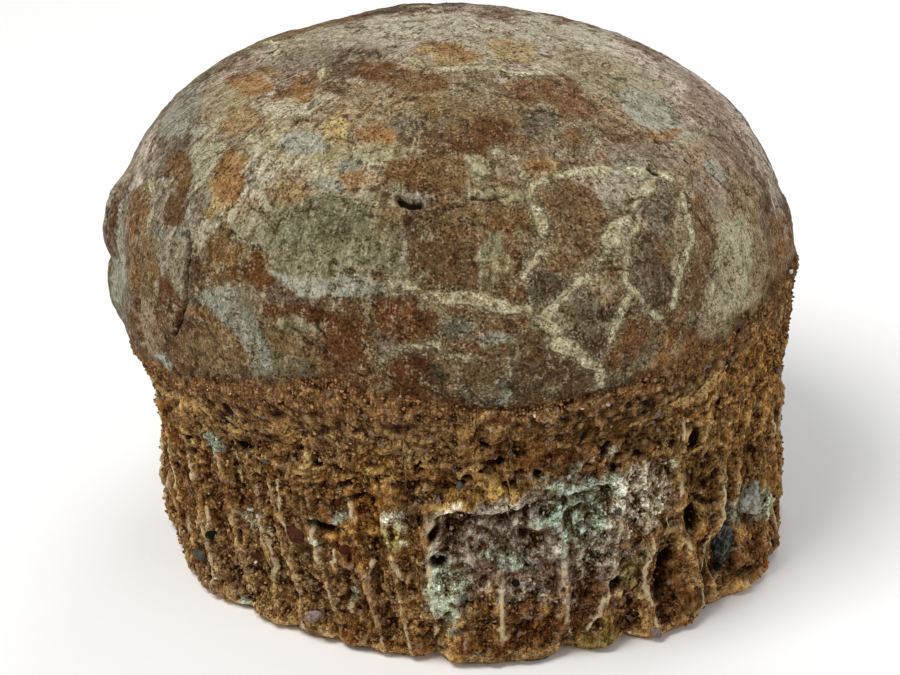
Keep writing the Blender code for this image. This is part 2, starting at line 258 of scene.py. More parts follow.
def plain_egg(directions):
    """Points on the smooth egg and its outward directions there."""
    flat = np.hypot(directions[:, 0], directions[:, 1])
    size = (flat**EGG_SQUARENESS + np.abs(directions[:, 2]) ** EGG_SQUARENESS) ** (1.0 / EGG_SQUARENESS)
    points = EGG_CENTRE + directions * EGG_RADII / size[:, None]
    outward = directions / EGG_RADII
    return points, outward / np.linalg.norm(outward, axis=1)[:, None]


def slab_relief(points):
    """Height of the shell slabs, less the depth of the open crack on the left."""
    azimuth = np.degrees(np.arctan2(points[:, 0] - EGG_CENTRE[0], EGG_CENTRE[1] - points[:, 1]))
    around = math.radians(1.0) * EGG_RADII[0] * egg_girth(points[:, 2])
    total = np.zeros(len(points))
    for slab_azimuth, height, half_width, half_height, lift in SHELL_SLABS:
        across = apart(azimuth, slab_azimuth) * around / half_width
        away = np.hypot(across, (points[:, 2] - height) / half_height)
        total += lift * ease(1.4 - away)
    crack_azimuth, low, high, half_width, depth = LEFT_CRACK
    along = ease((points[:, 2] - low) / 6.0) * ease((high - points[:, 2]) / 6.0)
    return total - depth * along * ease(1.0 - np.abs(apart(azimuth, crack_azimuth)) * around / half_width)


def egg_body(directions):
    """Points and outward directions on the egg with its large lumps and slabs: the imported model's surface."""
    points, outward = plain_egg(directions)
    return points + outward * (stacked_lumps(points, EGG_LUMPS, 3.1) + slab_relief(points))[:, None], outward


egg_shape = bmesh.new()
bmesh.ops.create_cube(egg_shape, size=2.0)
bmesh.ops.subdivide_edges(egg_shape, edges=egg_shape.edges, cuts=EGG_CUTS, use_grid_fill=True)
egg_way = egg_directions(np.array([vertex.co for vertex in egg_shape.verts]))
plain_points, _ = plain_egg(egg_way)
egg_points, egg_outward = egg_body(egg_way)
print(len(egg_points), "points on the egg, from", egg_points.min(0).round(1), "to", egg_points.max(0).round(1))

# %% [markdown]
# ## Places on the egg
#
# Every plate, stain, vein and crack has a place. The simplest way to say where is as on a globe: degrees
# round from the front and degrees up from the middle. A patch is then an ellipse laid on the shell there, and
# a vein is a line through several places. Both are measured in millimetres from a globe place's own
# east-and-north axes, so they keep their size wherever they lie.


# %% Globe places
FAR = 99.0  # a distance in millimetres that stands for out of reach


def egg_place(azimuth, latitude):
    """A point on the plain egg, with its east, north and outward directions."""
    azimuth, latitude = math.radians(azimuth), math.radians(latitude)
    flat = math.cos(latitude)
    way = np.array([flat * math.sin(azimuth), -flat * math.cos(azimuth), math.sin(latitude)])
    points, outward = plain_egg(way[None, :])
    point, out = points[0], outward[0]
    east = np.array([-point[1], point[0] + 1e-6, 0.0])
    east -= out * (east @ out)
    east /= np.linalg.norm(east)
    return point, east, np.cross(out, east), out


def across_patch(points, outward, place, half_width, half_height, turn):
    """How far each point is from an elliptical patch's middle: 0 there, 1 on its outline."""
    middle, east, north, out = place
    offset = points - middle
    reach = oval_reach(offset @ east, offset @ north, half_width, half_height, turn)
    return np.where(outward @ out > 0.2, reach, FAR)


def smooth_line(corners, steps=5):
    """A curve through the corners: a list of points."""
    corners = [np.array(corner) for corner in corners]
    run = [2 * corners[0] - corners[1], *corners, 2 * corners[-1] - corners[-2]]
    line = []
    for a, b, c, d in zip(run, run[1:], run[2:], run[3:]):
        line += [curve_through(a, b, c, d, share) for share in np.arange(steps) / steps]
    return line + [corners[-1]]


def from_line(points, line, reach=14.0):
    """Distance of each point to a line, its share along the line, and the signed distance to its left hand."""
    line = np.array(line)
    best = np.full(len(points), FAR)
    along, side = np.zeros(len(points)), np.zeros(len(points))
    near = np.flatnonzero(np.all((points > line.min(0) - reach) & (points < line.max(0) + reach), axis=1))
    close = points[near]
    for number, (start, end) in enumerate(zip(line, line[1:])):
        run = end - start
        share = np.clip((close - start) @ run / max(run @ run, 1e-9), 0.0, 1.0)
        offset = close - start - share[:, None] * run
        distance = np.linalg.norm(offset, axis=1)
        nearer = distance < best[near]
        best[near[nearer]] = distance[nearer]
        along[near[nearer]] = (number + share[nearer]) / (len(line) - 1)
        left = np.cross((start + end) / 2 - EGG_CENTRE, run)
        side[near[nearer]] = offset[nearer] @ (left / np.linalg.norm(left))
    return best, along, side


print("the egg's foremost point:", egg_place(0, 0)[0].round(1))

# %% [markdown]
# ## Shell plates, cracks and ledges
#
# The shell was crushed into plates about 8 to 20 mm across. Each plate sits a little higher or lower than the
# next, with a shallow groove between, and a few have open cracks or lost pieces between them. The grooves
# come from Voronoi cells that are bent by noise, so that no border is straight. The cracks and ledges that
# anyone would notice have their own places. Low on the egg a rough coat of rock still clings to the shell.

# %% Cracks and ledges
# Open cracks and holes: half width, depth, and globe places along them.
CRACKS = [
    (0.6, 1.6, [(-50.1, 24.2), (-48.1, 19.8), (-47.5, 14.1), (-47.2, 9.2), (-48.5, 4.7), (-50.1, -0.8)]),
    (0.65, 2.6, [(-10.7, 42.3), (-9, 41.8), (-7.4, 41.5), (-6, 41.8)]),
    (0.5, 0.9, [(2.7, 42), (5, 42.2), (8, 42.2), (10.7, 42.5)]),
    (0.4, 0.8, [(-110.5, 56.6), (-111.7, 59.3), (-112.9, 61.4)]),
    (0.5, 0.7, [(-98.4, 61.2), (-89.6, 63.1), (-84.5, 64.3)]),
    (0.5, 0.8, [(50.2, 60.3), (48.4, 57.1), (50.3, 54.7), (51, 52.7)]),
    (0.7, 2.2, [(45.4, 41.7), (46.6, 40.3)]),
    (0.5, 1.6, [(67.1, 29.2), (68.3, 26)]),
    (0.7, 2.6, [(66, 7.5), (63.1, 4.9)]),
    (0.5, 2, [(-63.6, 1.3), (-62.7, -2)]),
    (0.35, 0.6, [(-25.6, 12.1), (-23.5, 11.4), (-21.7, 9)]),
    (0.35, 0.6, [(-2.7, 10.8), (-0.7, 10.2), (1.6, 9.9)]),
    (0.3, 0.4, [(3.8, 37.7), (6.5, 36.3), (8.6, 35.2), (6.7, 31.8)]),
    (0.25, 0.4, [(14.9, 16.2), (16.9, 19), (20.4, 22.3)]),
    (0.8, 1.6, [(-52, -7.5), (-50.2, -11)]),
    (0.6, 1.4, [(-81.2, 15.8), (-80.4, 11.1)]),
    (0.6, 1.6, [(118, 31), (124, 24), (127, 14), (134, 6)]),
    (0.5, 1.2, [(172, 44), (-176, 36), (-172, 24), (-165, 17)]),
    (0.7, 1.8, [(-128, 26), (-124, 18), (-126, 8)]),
]
# Ledges: height, and globe places with the raised side on the left hand.
LEDGES = [
    (0.8, [(30.6, -3.1), (25.7, -4.3), (19.4, -5), (13.8, -6.1), (7.7, -6.3), (2.3, -4.7), (-2.9, -2.8)]),
    (0.6, [(-50.1, 24.2), (-47.3, 14.2), (-47.6, 7.8), (-50.7, -3.1), (-55.2, -11.8)]),
    (0.8, [(53.5, -1.2), (58.6, 1.4), (64.6, 5.1), (67.7, 14.5), (64.9, 24.9)]),
    (0.5, [(-115.5, 57.7), (-88.1, 70.1), (-59.2, 75.4), (-22.3, 77.5)]),
    (0.6, [(12.1, 18.9), (5.5, 20.7), (-0.6, 21.9), (-7.4, 23.8), (-16.2, 22), (-26.7, 22.5)]),
    (0.5, [(-73.6, 68), (-52.9, 63.1), (-46.3, 58.7)]),
    (0.7, [(150, 10), (162, 18), (170, 30), (165, 44)]),
    (0.6, [(-150, 40), (-140, 30), (-137, 16)]),
]
LEDGE_REACH = 9.0  # how far from its edge a ledge fades away
# Open cracks are painted dark inside, as shade; one this deep is painted dark all through.
FULL_DEPTH = 1.4  # a crack as deep as this is dark all through


def egg_line(places):
    """A smooth line over the plain egg, through globe places."""
    return smooth_line([egg_place(*place)[0] for place in places])


wander = np.column_stack([lumpy(egg_points, 5.0, seed, 3) for seed in (1.0, 2.0, 3.0)])
shaken = plain_points + wander * 0.9  # lines are measured on the plain egg, so that the lumps do not thin them
crack = np.zeros(len(egg_points))
egg_relief = np.zeros(len(egg_points))
for half_width, depth, places in CRACKS:
    away, along, _ = from_line(shaken, egg_line(places))
    inside = ease(1.6 - away / half_width)
    crack = np.maximum(crack, inside * min(1.0, depth / FULL_DEPTH))
    egg_relief -= depth * inside
for height, places in LEDGES:
    away, along, side = from_line(shaken, egg_line(places))
    ends = ease(along * 5.0) * ease((1.0 - along) * 5.0)
    raised = 0.5 + 0.5 * np.tanh(side / 0.35)
    egg_relief += height * ends * ease(1.0 - away / LEDGE_REACH) * (raised - 0.35)
print(len(CRACKS), "cracks and", len(LEDGES), "ledges; deepest point", egg_relief.min().round(2), "mm")

# %% [markdown]
# The plates are two sizes of Voronoi cell. The large ones step up and down by a sixth of a millimetre, and
# the small ones only roughen them. The rough coat is thickest just above the rock and has faded out within
# 9 mm. It is modelled as crowded small lumps, each a grain or two of sand.

# %% Plates and the rough coat
RIM_HEIGHTS = [
    (-180, 63), (-140, 57), (-112, 51), (-90, 50), (-60, 57), (-40, 64), (-20, 68),
    (0, 67), (20, 68), (45, 70), (75, 70), (100, 69), (140, 66),
]
# Height of the rough coat above the rock, by azimuth.
COAT_HEIGHTS = [
    (-180, 6), (-120, 5), (-70, 4), (-50, 5), (-25, 8), (-8, 6), (5, 1), (25, 1), (40, 5), (55, 7), (75, 6),
    (120, 6),
]
PLATE_SIZE, SMALL_PLATE_SIZE, COAT_GRAIN_SIZE = 13.0, 5.0, 2.1

around_axis = np.degrees(np.arctan2(egg_points[:, 0], -egg_points[:, 1]))
above_rock = egg_points[:, 2] - ring_value(RIM_HEIGHTS, around_axis)
coat_height = ring_value(COAT_HEIGHTS, around_axis)
coat = ease(1.1 - above_rock / np.maximum(coat_height, 1.0) + 0.5 * lumpy(egg_points, 9.0, 5.0, 3))
lip = ease(1.0 - above_rock / 5.0) * ease(coat_height / 4.0 - 0.6)  # where the coat runs over the rock's edge
_, border, tone = cells(egg_points + wander * 3.0, PLATE_SIZE, 0.4)
seam = border * PLATE_SIZE * 0.5  # roughly the distance to the nearest edge of a plate, in mm
_, small_border, small_tone = cells(egg_points + wander * 2.0, SMALL_PLATE_SIZE, 2.7)
plates = 0.34 * (tone - 0.5) * ease(border * 5.0) - 0.22 * ease(1.0 - border * 9.0)
plates += 0.16 * (small_tone - 0.5) * ease(small_border * 4.0)
grain_middle, _, grain_tone = cells(egg_points, COAT_GRAIN_SIZE, 5.5)
grains_up = (0.55 - grain_middle) * (0.5 + grain_tone)
egg_relief += plates * (1.0 - 0.6 * coat) + 0.22 * lumpy(egg_points, 6.0, 8.0, 4)
egg_relief += coat * (0.9 * grains_up + 0.6 * lumpy(egg_points, 3.2, 9.0, 3)) + 1.1 * lip
egg_relief += 0.07 * lumpy(egg_points, 1.9, 4.0)
print("plates and coat give", egg_relief.min().round(2), "to", egg_relief.max().round(2), "mm of relief")

# %% [markdown]
# ## The shell's stains
#
# The colours are laid on as a painter would: a brown ground, then each stain as a soft ellipse at its own
# place, one over the other. Before it is laid, every ellipse is bent by the same noise, so that its outline
# frays as a real stain does. The hidden back gets stains of the same kinds and sizes, dealt out by a fixed
# random seed. Last come the plates of shell whose colour stops at a broken edge. Each is an outline of
# globe places, filled with one colour and frayed by less than a millimetre.
#
# There are two kinds of colour. The browns and dark tones are the shell itself. The pale ones are a limy
# film that lies over it, and an attribute says how much of the shell it covers.

# %% Stains
# Azimuth, latitude, half width, half height, turn, colour, strength.
EGG_STAINS = [
    # Broad washes first, and then the stains that lie over them. The white washes over the top of the dome
    # and on the right-hand limb are partly a limy crust and partly painted sheen and rim light.
    (8, 89, 66.3, 18.5, 81, "chalk_white", 0.8), (-32, 43, 30, 27.5, 50, "green_cream", 0.75),
    (-63, 24, 22.6, 25.6, 17, "blue_ash", 0.7), (-21, 31, 19.2, 10.2, 9, "moss_grey", 0.9),
    (74, 54, 25.7, 24.2, -107, "chalk_white", 0.65), (57, 29, 18.1, 29.8, -36, "bone", 0.6),
    (10, 37, 25.1, 14.2, -3, "lichen", 0.65), (11, 9, 28.9, 9.9, -8, "dull_umber", 0.8),
    (-28, 8, 24.2, 10.1, 2, "lichen", 0.65), (7, 63, 33.9, 18, 4, "oat", 0.7),
    (-100, 70, 19.1, 10.9, 84, "dusty_grey", 0.8), (-138, 85, 21.7, 9.4, 108, "mint_cream", 0.9),
    (110, 70, 14.5, 16.1, -110, "mint_cream", 0.8), (70, 63, 13.4, 13.8, -98, "pale_olive", 0.8),
    (-66, 74, 10.9, 4.7, 62, "dull_moss", 0.7), (-82, 65, 9.8, 6.1, 75, "warm_grey", 0.7),
    (29, 83, 7.6, 6.4, -55, "mint_cream", 0.85), (1, 82, 9.6, 5.6, -1, "straw", 0.8),
    (67, 79, 8, 7.1, -62, "straw", 0.7), (72, 52, 9.1, 13.1, -113, "pale_olive", 0.85),
    (76, 47, 6, 7.5, -35, "chalk_white", 0.75), (77, 57, 5.3, 6.6, -105, "dusty_grey", 0.8),
    (-20, 67, 12.7, 8.6, 19, "warm_stone", 0.7), (69, 38, 10.5, 33.2, -63, "dusty_tan", 0.8),
    (91, 32, 7.9, 34.6, -49, "chalk_white", 0.6), (-78, 56, 6.2, 7, 81, "tan", 0.85),
    (-59, 62, 5.9, 8.3, 13, "tobacco", 0.95), (-45, 72, 6.6, 4.1, 32, "dull_umber", 0.9),
    (-19, 75, 5.5, 4.7, 28, "bone", 0.7), (-76, 50, 5.6, 12.9, 99, "pale_olive", 0.7),
    (-83, 42, 5.3, 15, 90, "blue_ash", 0.8), (-74, 31, 5.3, 19.3, 88, "chalk_white", 0.75),
    (-68, 36, 3.9, 5.7, 21, "dull_umber", 0.9), (-67, 23, 7.4, 7.6, 30, "lichen", 0.85),
    (-57, 28, 4.2, 6.3, 24, "umber", 0.7), (-62, 50, 4.4, 5.9, 73, "tan", 0.9),
    (-51, 56, 5.7, 4.1, 37, "green_cream", 0.7), (-32, 56, 3.7, 5, 26, "straw", 0.85),
    (-19, 56, 4.1, 3.9, 17, "tan", 0.85), (-48, 38, 4.9, 8, 33, "straw", 0.95),
    (-34, 41, 4.8, 4.5, 22, "oat", 0.8), (-21, 45, 4.1, 3.2, 15, "tan", 0.8),
    (-40, 35, 2.3, 4.8, 30, "warm_stone", 0.7), (-43, 43, 3.9, 8.6, 38, "mint_cream", 0.75),
    (-38, 50, 8.8, 4, 16, "pale_olive", 0.85), (-52, 55, 4.8, 5.3, 29, "pale_olive", 0.6),
    (-18, 52, 6.7, 2.4, 21, "pale_olive", 0.95), (-24, 48, 3.5, 2.1, 44, "blue_ash", 0.8),
    (-61, 41, 3.9, 11.9, 45, "pale_sage", 0.6), (-24, 35, 13.8, 7.8, 15, "moss_grey", 0.9),
    (-16, 31, 9.8, 6.6, 11, "sage", 0.9), (-26, 27, 8.5, 4.8, 11, "sage", 0.8),
    (-24, 37, 8, 2.8, 5, "moss_grey", 0.6), (-22, 39, 5, 1.9, 15, "sage", 0.5),
    (-11, 37, 3.9, 8.3, 11, "pale_olive", 0.6), (7, 62, 20.2, 15.5, -5, "khaki", 0.85),
    (42, 63, 8.3, 8.9, -38, "lichen", 0.8), (-3, 56, 6.6, 7.2, 7, "khaki", 0.85),
    (51, 56, 9.6, 6.3, -60, "oat", 0.8), (66, 44, 8.3, 2.8, -15, "dusty_grey", 0.9),
    (-6, 47, 8.8, 5.8, 9, "rust_umber", 0.7), (7, 51, 3.2, 3.9, 24, "rust_umber", 0.7),
    (16, 49, 5.9, 3.9, -3, "lichen", 0.7), (38, 49, 17.1, 3.2, -21, "dusty_tan", 0.75),
    (-5, 42, 3.9, 1.2, 7, "peat", 0.7), (6, 43, 6.1, 1.2, 4, "lichen", 0.6),
    (15, 43, 2.8, 1.5, 9, "warm_grey", 0.8), (-4, 38, 7.8, 4.1, 5, "grey_olive", 0.7),
    (22, 38, 6.8, 7.4, -9, "grey_bark", 0.8), (25, 32, 7.8, 6.9, -11, "lichen", 0.85),
    (34, 42, 7.9, 4.6, -22, "chalk_white", 0.8), (30, 38, 4.7, 3.2, -14, "ice_grey", 0.4),
    (42, 42, 5.1, 3.8, -20, "blue_ash", 0.8), (47, 45, 7.5, 2.8, -30, "dull_moss", 0.7),
    (60, 39, 4.9, 5.6, -61, "oat", 0.8), (62, 35, 3.5, 3, -43, "ice_grey", 0.7),
    (42, 35, 3.4, 7.3, -36, "smoke", 0.95), (34, 25, 5.6, 9.2, -7, "oat", 0.9),
    (39, 23, 2.6, 3.1, -15, "bone", 0.8), (32, 31, 2.7, 7.4, -40, "mint_cream", 0.6),
    (47, 28, 4.4, 6.9, -19, "bone", 0.85), (44, 16, 4.6, 8.3, -12, "grey_bark", 0.85),
    (55, 16, 11.3, 13.2, -17, "green_cream", 0.98), (48, 6, 9.9, 5.7, -43, "green_cream", 0.9),
    (64, 17, 5.5, 9.3, -21, "oat", 0.6), (44, 6, 7.3, 3.2, -37, "oat", 0.6),
    (74, 7, 8.7, 11.3, -24, "ochre_tan", 0.8), (67, 28, 7.3, 7.2, -49, "tan", 0.6),
    (62, 3, 7.4, 10.2, -16, "tan", 0.8), (-1, 31, 8.2, 6.6, 3, "tobacco", 0.8),
    (10, 39, 7.4, 3.2, 4, "dull_umber", 0.7), (11, 33, 3.5, 5.8, -3, "rust_umber", 0.7),
    (7, 29, 2.6, 5.7, 3, "sage", 0.75), (-16, 23, 11.6, 1.9, 7, "dull_moss", 0.95),
    (-17, 21, 9.9, 1.5, 7, "dark_slate", 0.6), (-26, 19, 8.1, 3.1, 4, "grey_bark", 0.85),
    (-16, 15, 9.1, 3.5, 9, "dull_umber", 0.8), (-24, 12, 7.1, 3.2, 4, "khaki", 0.85),
    (-6, 17, 7.8, 4.8, 5, "lichen", 0.9), (-10, 13, 2, 2.9, 6, "dark_olive", 0.85),
    (1, 16, 3.7, 2.2, -4, "dark_slate", 0.95), (8, 17, 7.4, 2.6, -2, "warm_stone", 0.8),
    (6, 13, 5.6, 1.3, -6, "dusty_tan", 0.45), (16, 21, 4.8, 3.9, -41, "bone", 0.8),
    (25, 21, 5.2, 3.1, -1, "warm_stone", 0.75), (22, 12, 4.3, 2.9, -9, "dark_olive", 0.9),
    (22, 19, 4.1, 2, 20, "tobacco", 0.6), (28, 12, 4.7, 4.4, -33, "umber", 0.85),
    (30, 5, 4.9, 5.7, -39, "warm_stone", 0.9), (25, 3, 2.5, 4.4, -12, "lichen", 0.6),
    (19, 9, 9.6, 3.6, -20, "grey_bark", 0.5), (8, 4, 14.1, 5.7, -7, "lichen", 0.85),
    (-1, 5, 2.6, 3.2, -9, "tobacco", 0.8), (-5, 7, 3.5, 6.8, 4, "burnt_sienna", 0.75),
    (-4, -2, 5.7, 2.5, 2, "burnt_sienna", 0.6), (17, 0, 11.9, 4.6, 0, "dark_slate", 0.7),
    (-15, 5, 11.5, 6, 9, "rust_umber", 0.75), (5, -2, 11, 2, -9, "dark_slate", 0.6),
    (15, 16, 2.2, 2, -6, "moss_grey", 0.9), (1, 10, 4.3, 1.1, -7, "dull_umber", 0.6),
    (-76, -2, 13.5, 7.3, 25, "moss_grey", 0.9), (-64, 12, 7.4, 9, 24, "ochre_tan", 0.8),
    (-56, 6, 9.4, 7.2, 23, "rust_umber", 0.7), (-52, 18, 4.5, 5.9, 22, "pale_sage", 0.75),
    (-72, 17, 5.3, 7.6, 26, "dull_moss", 0.7), (-46, 10, 2.8, 10.5, 22, "grey_olive", 0.6),
    (-45, 6, 5.8, 2.7, 29, "ochre_tan", 0.95), (-42, 22, 5.4, 5.8, 19, "khaki", 0.8),
    (-35, 23, 5.3, 4.4, 17, "khaki", 0.85), (-42, 28, 2.3, 2.7, 8, "khaki", 0.85),
    (-40, 15, 5.7, 2.2, 3, "ice_grey", 0.7), (-34, 12, 3.9, 7.6, -10, "dull_moss", 0.85),
    (-30, 4, 3, 6.1, 5, "moss_grey", 0.75), (-41, 1, 11.3, 7.5, 9, "tobacco", 0.85),
    (-58, -7, 7.3, 14, 8, "oat", 0.7), (-55, -10, 4.9, 3.4, 23, "ice_grey", 0.8),
    (-26, 1, 6, 4.5, 12, "grey_olive", 0.7), (-20, -4, 12.4, 3.1, 11, "peat", 0.7),
    (-36, -7, 10.6, 3.8, 8, "lichen", 0.6), (-45, -12, 8.3, 2.7, 20, "dark_olive", 0.5),
    (38, 1, 15.5, 3.7, -29, "ochre_tan", 0.9), (54, -3, 9.2, 6.6, -42, "lichen", 0.9),
    (27, -4, 7.3, 2.3, 1, "dark_olive", 0.8),
]
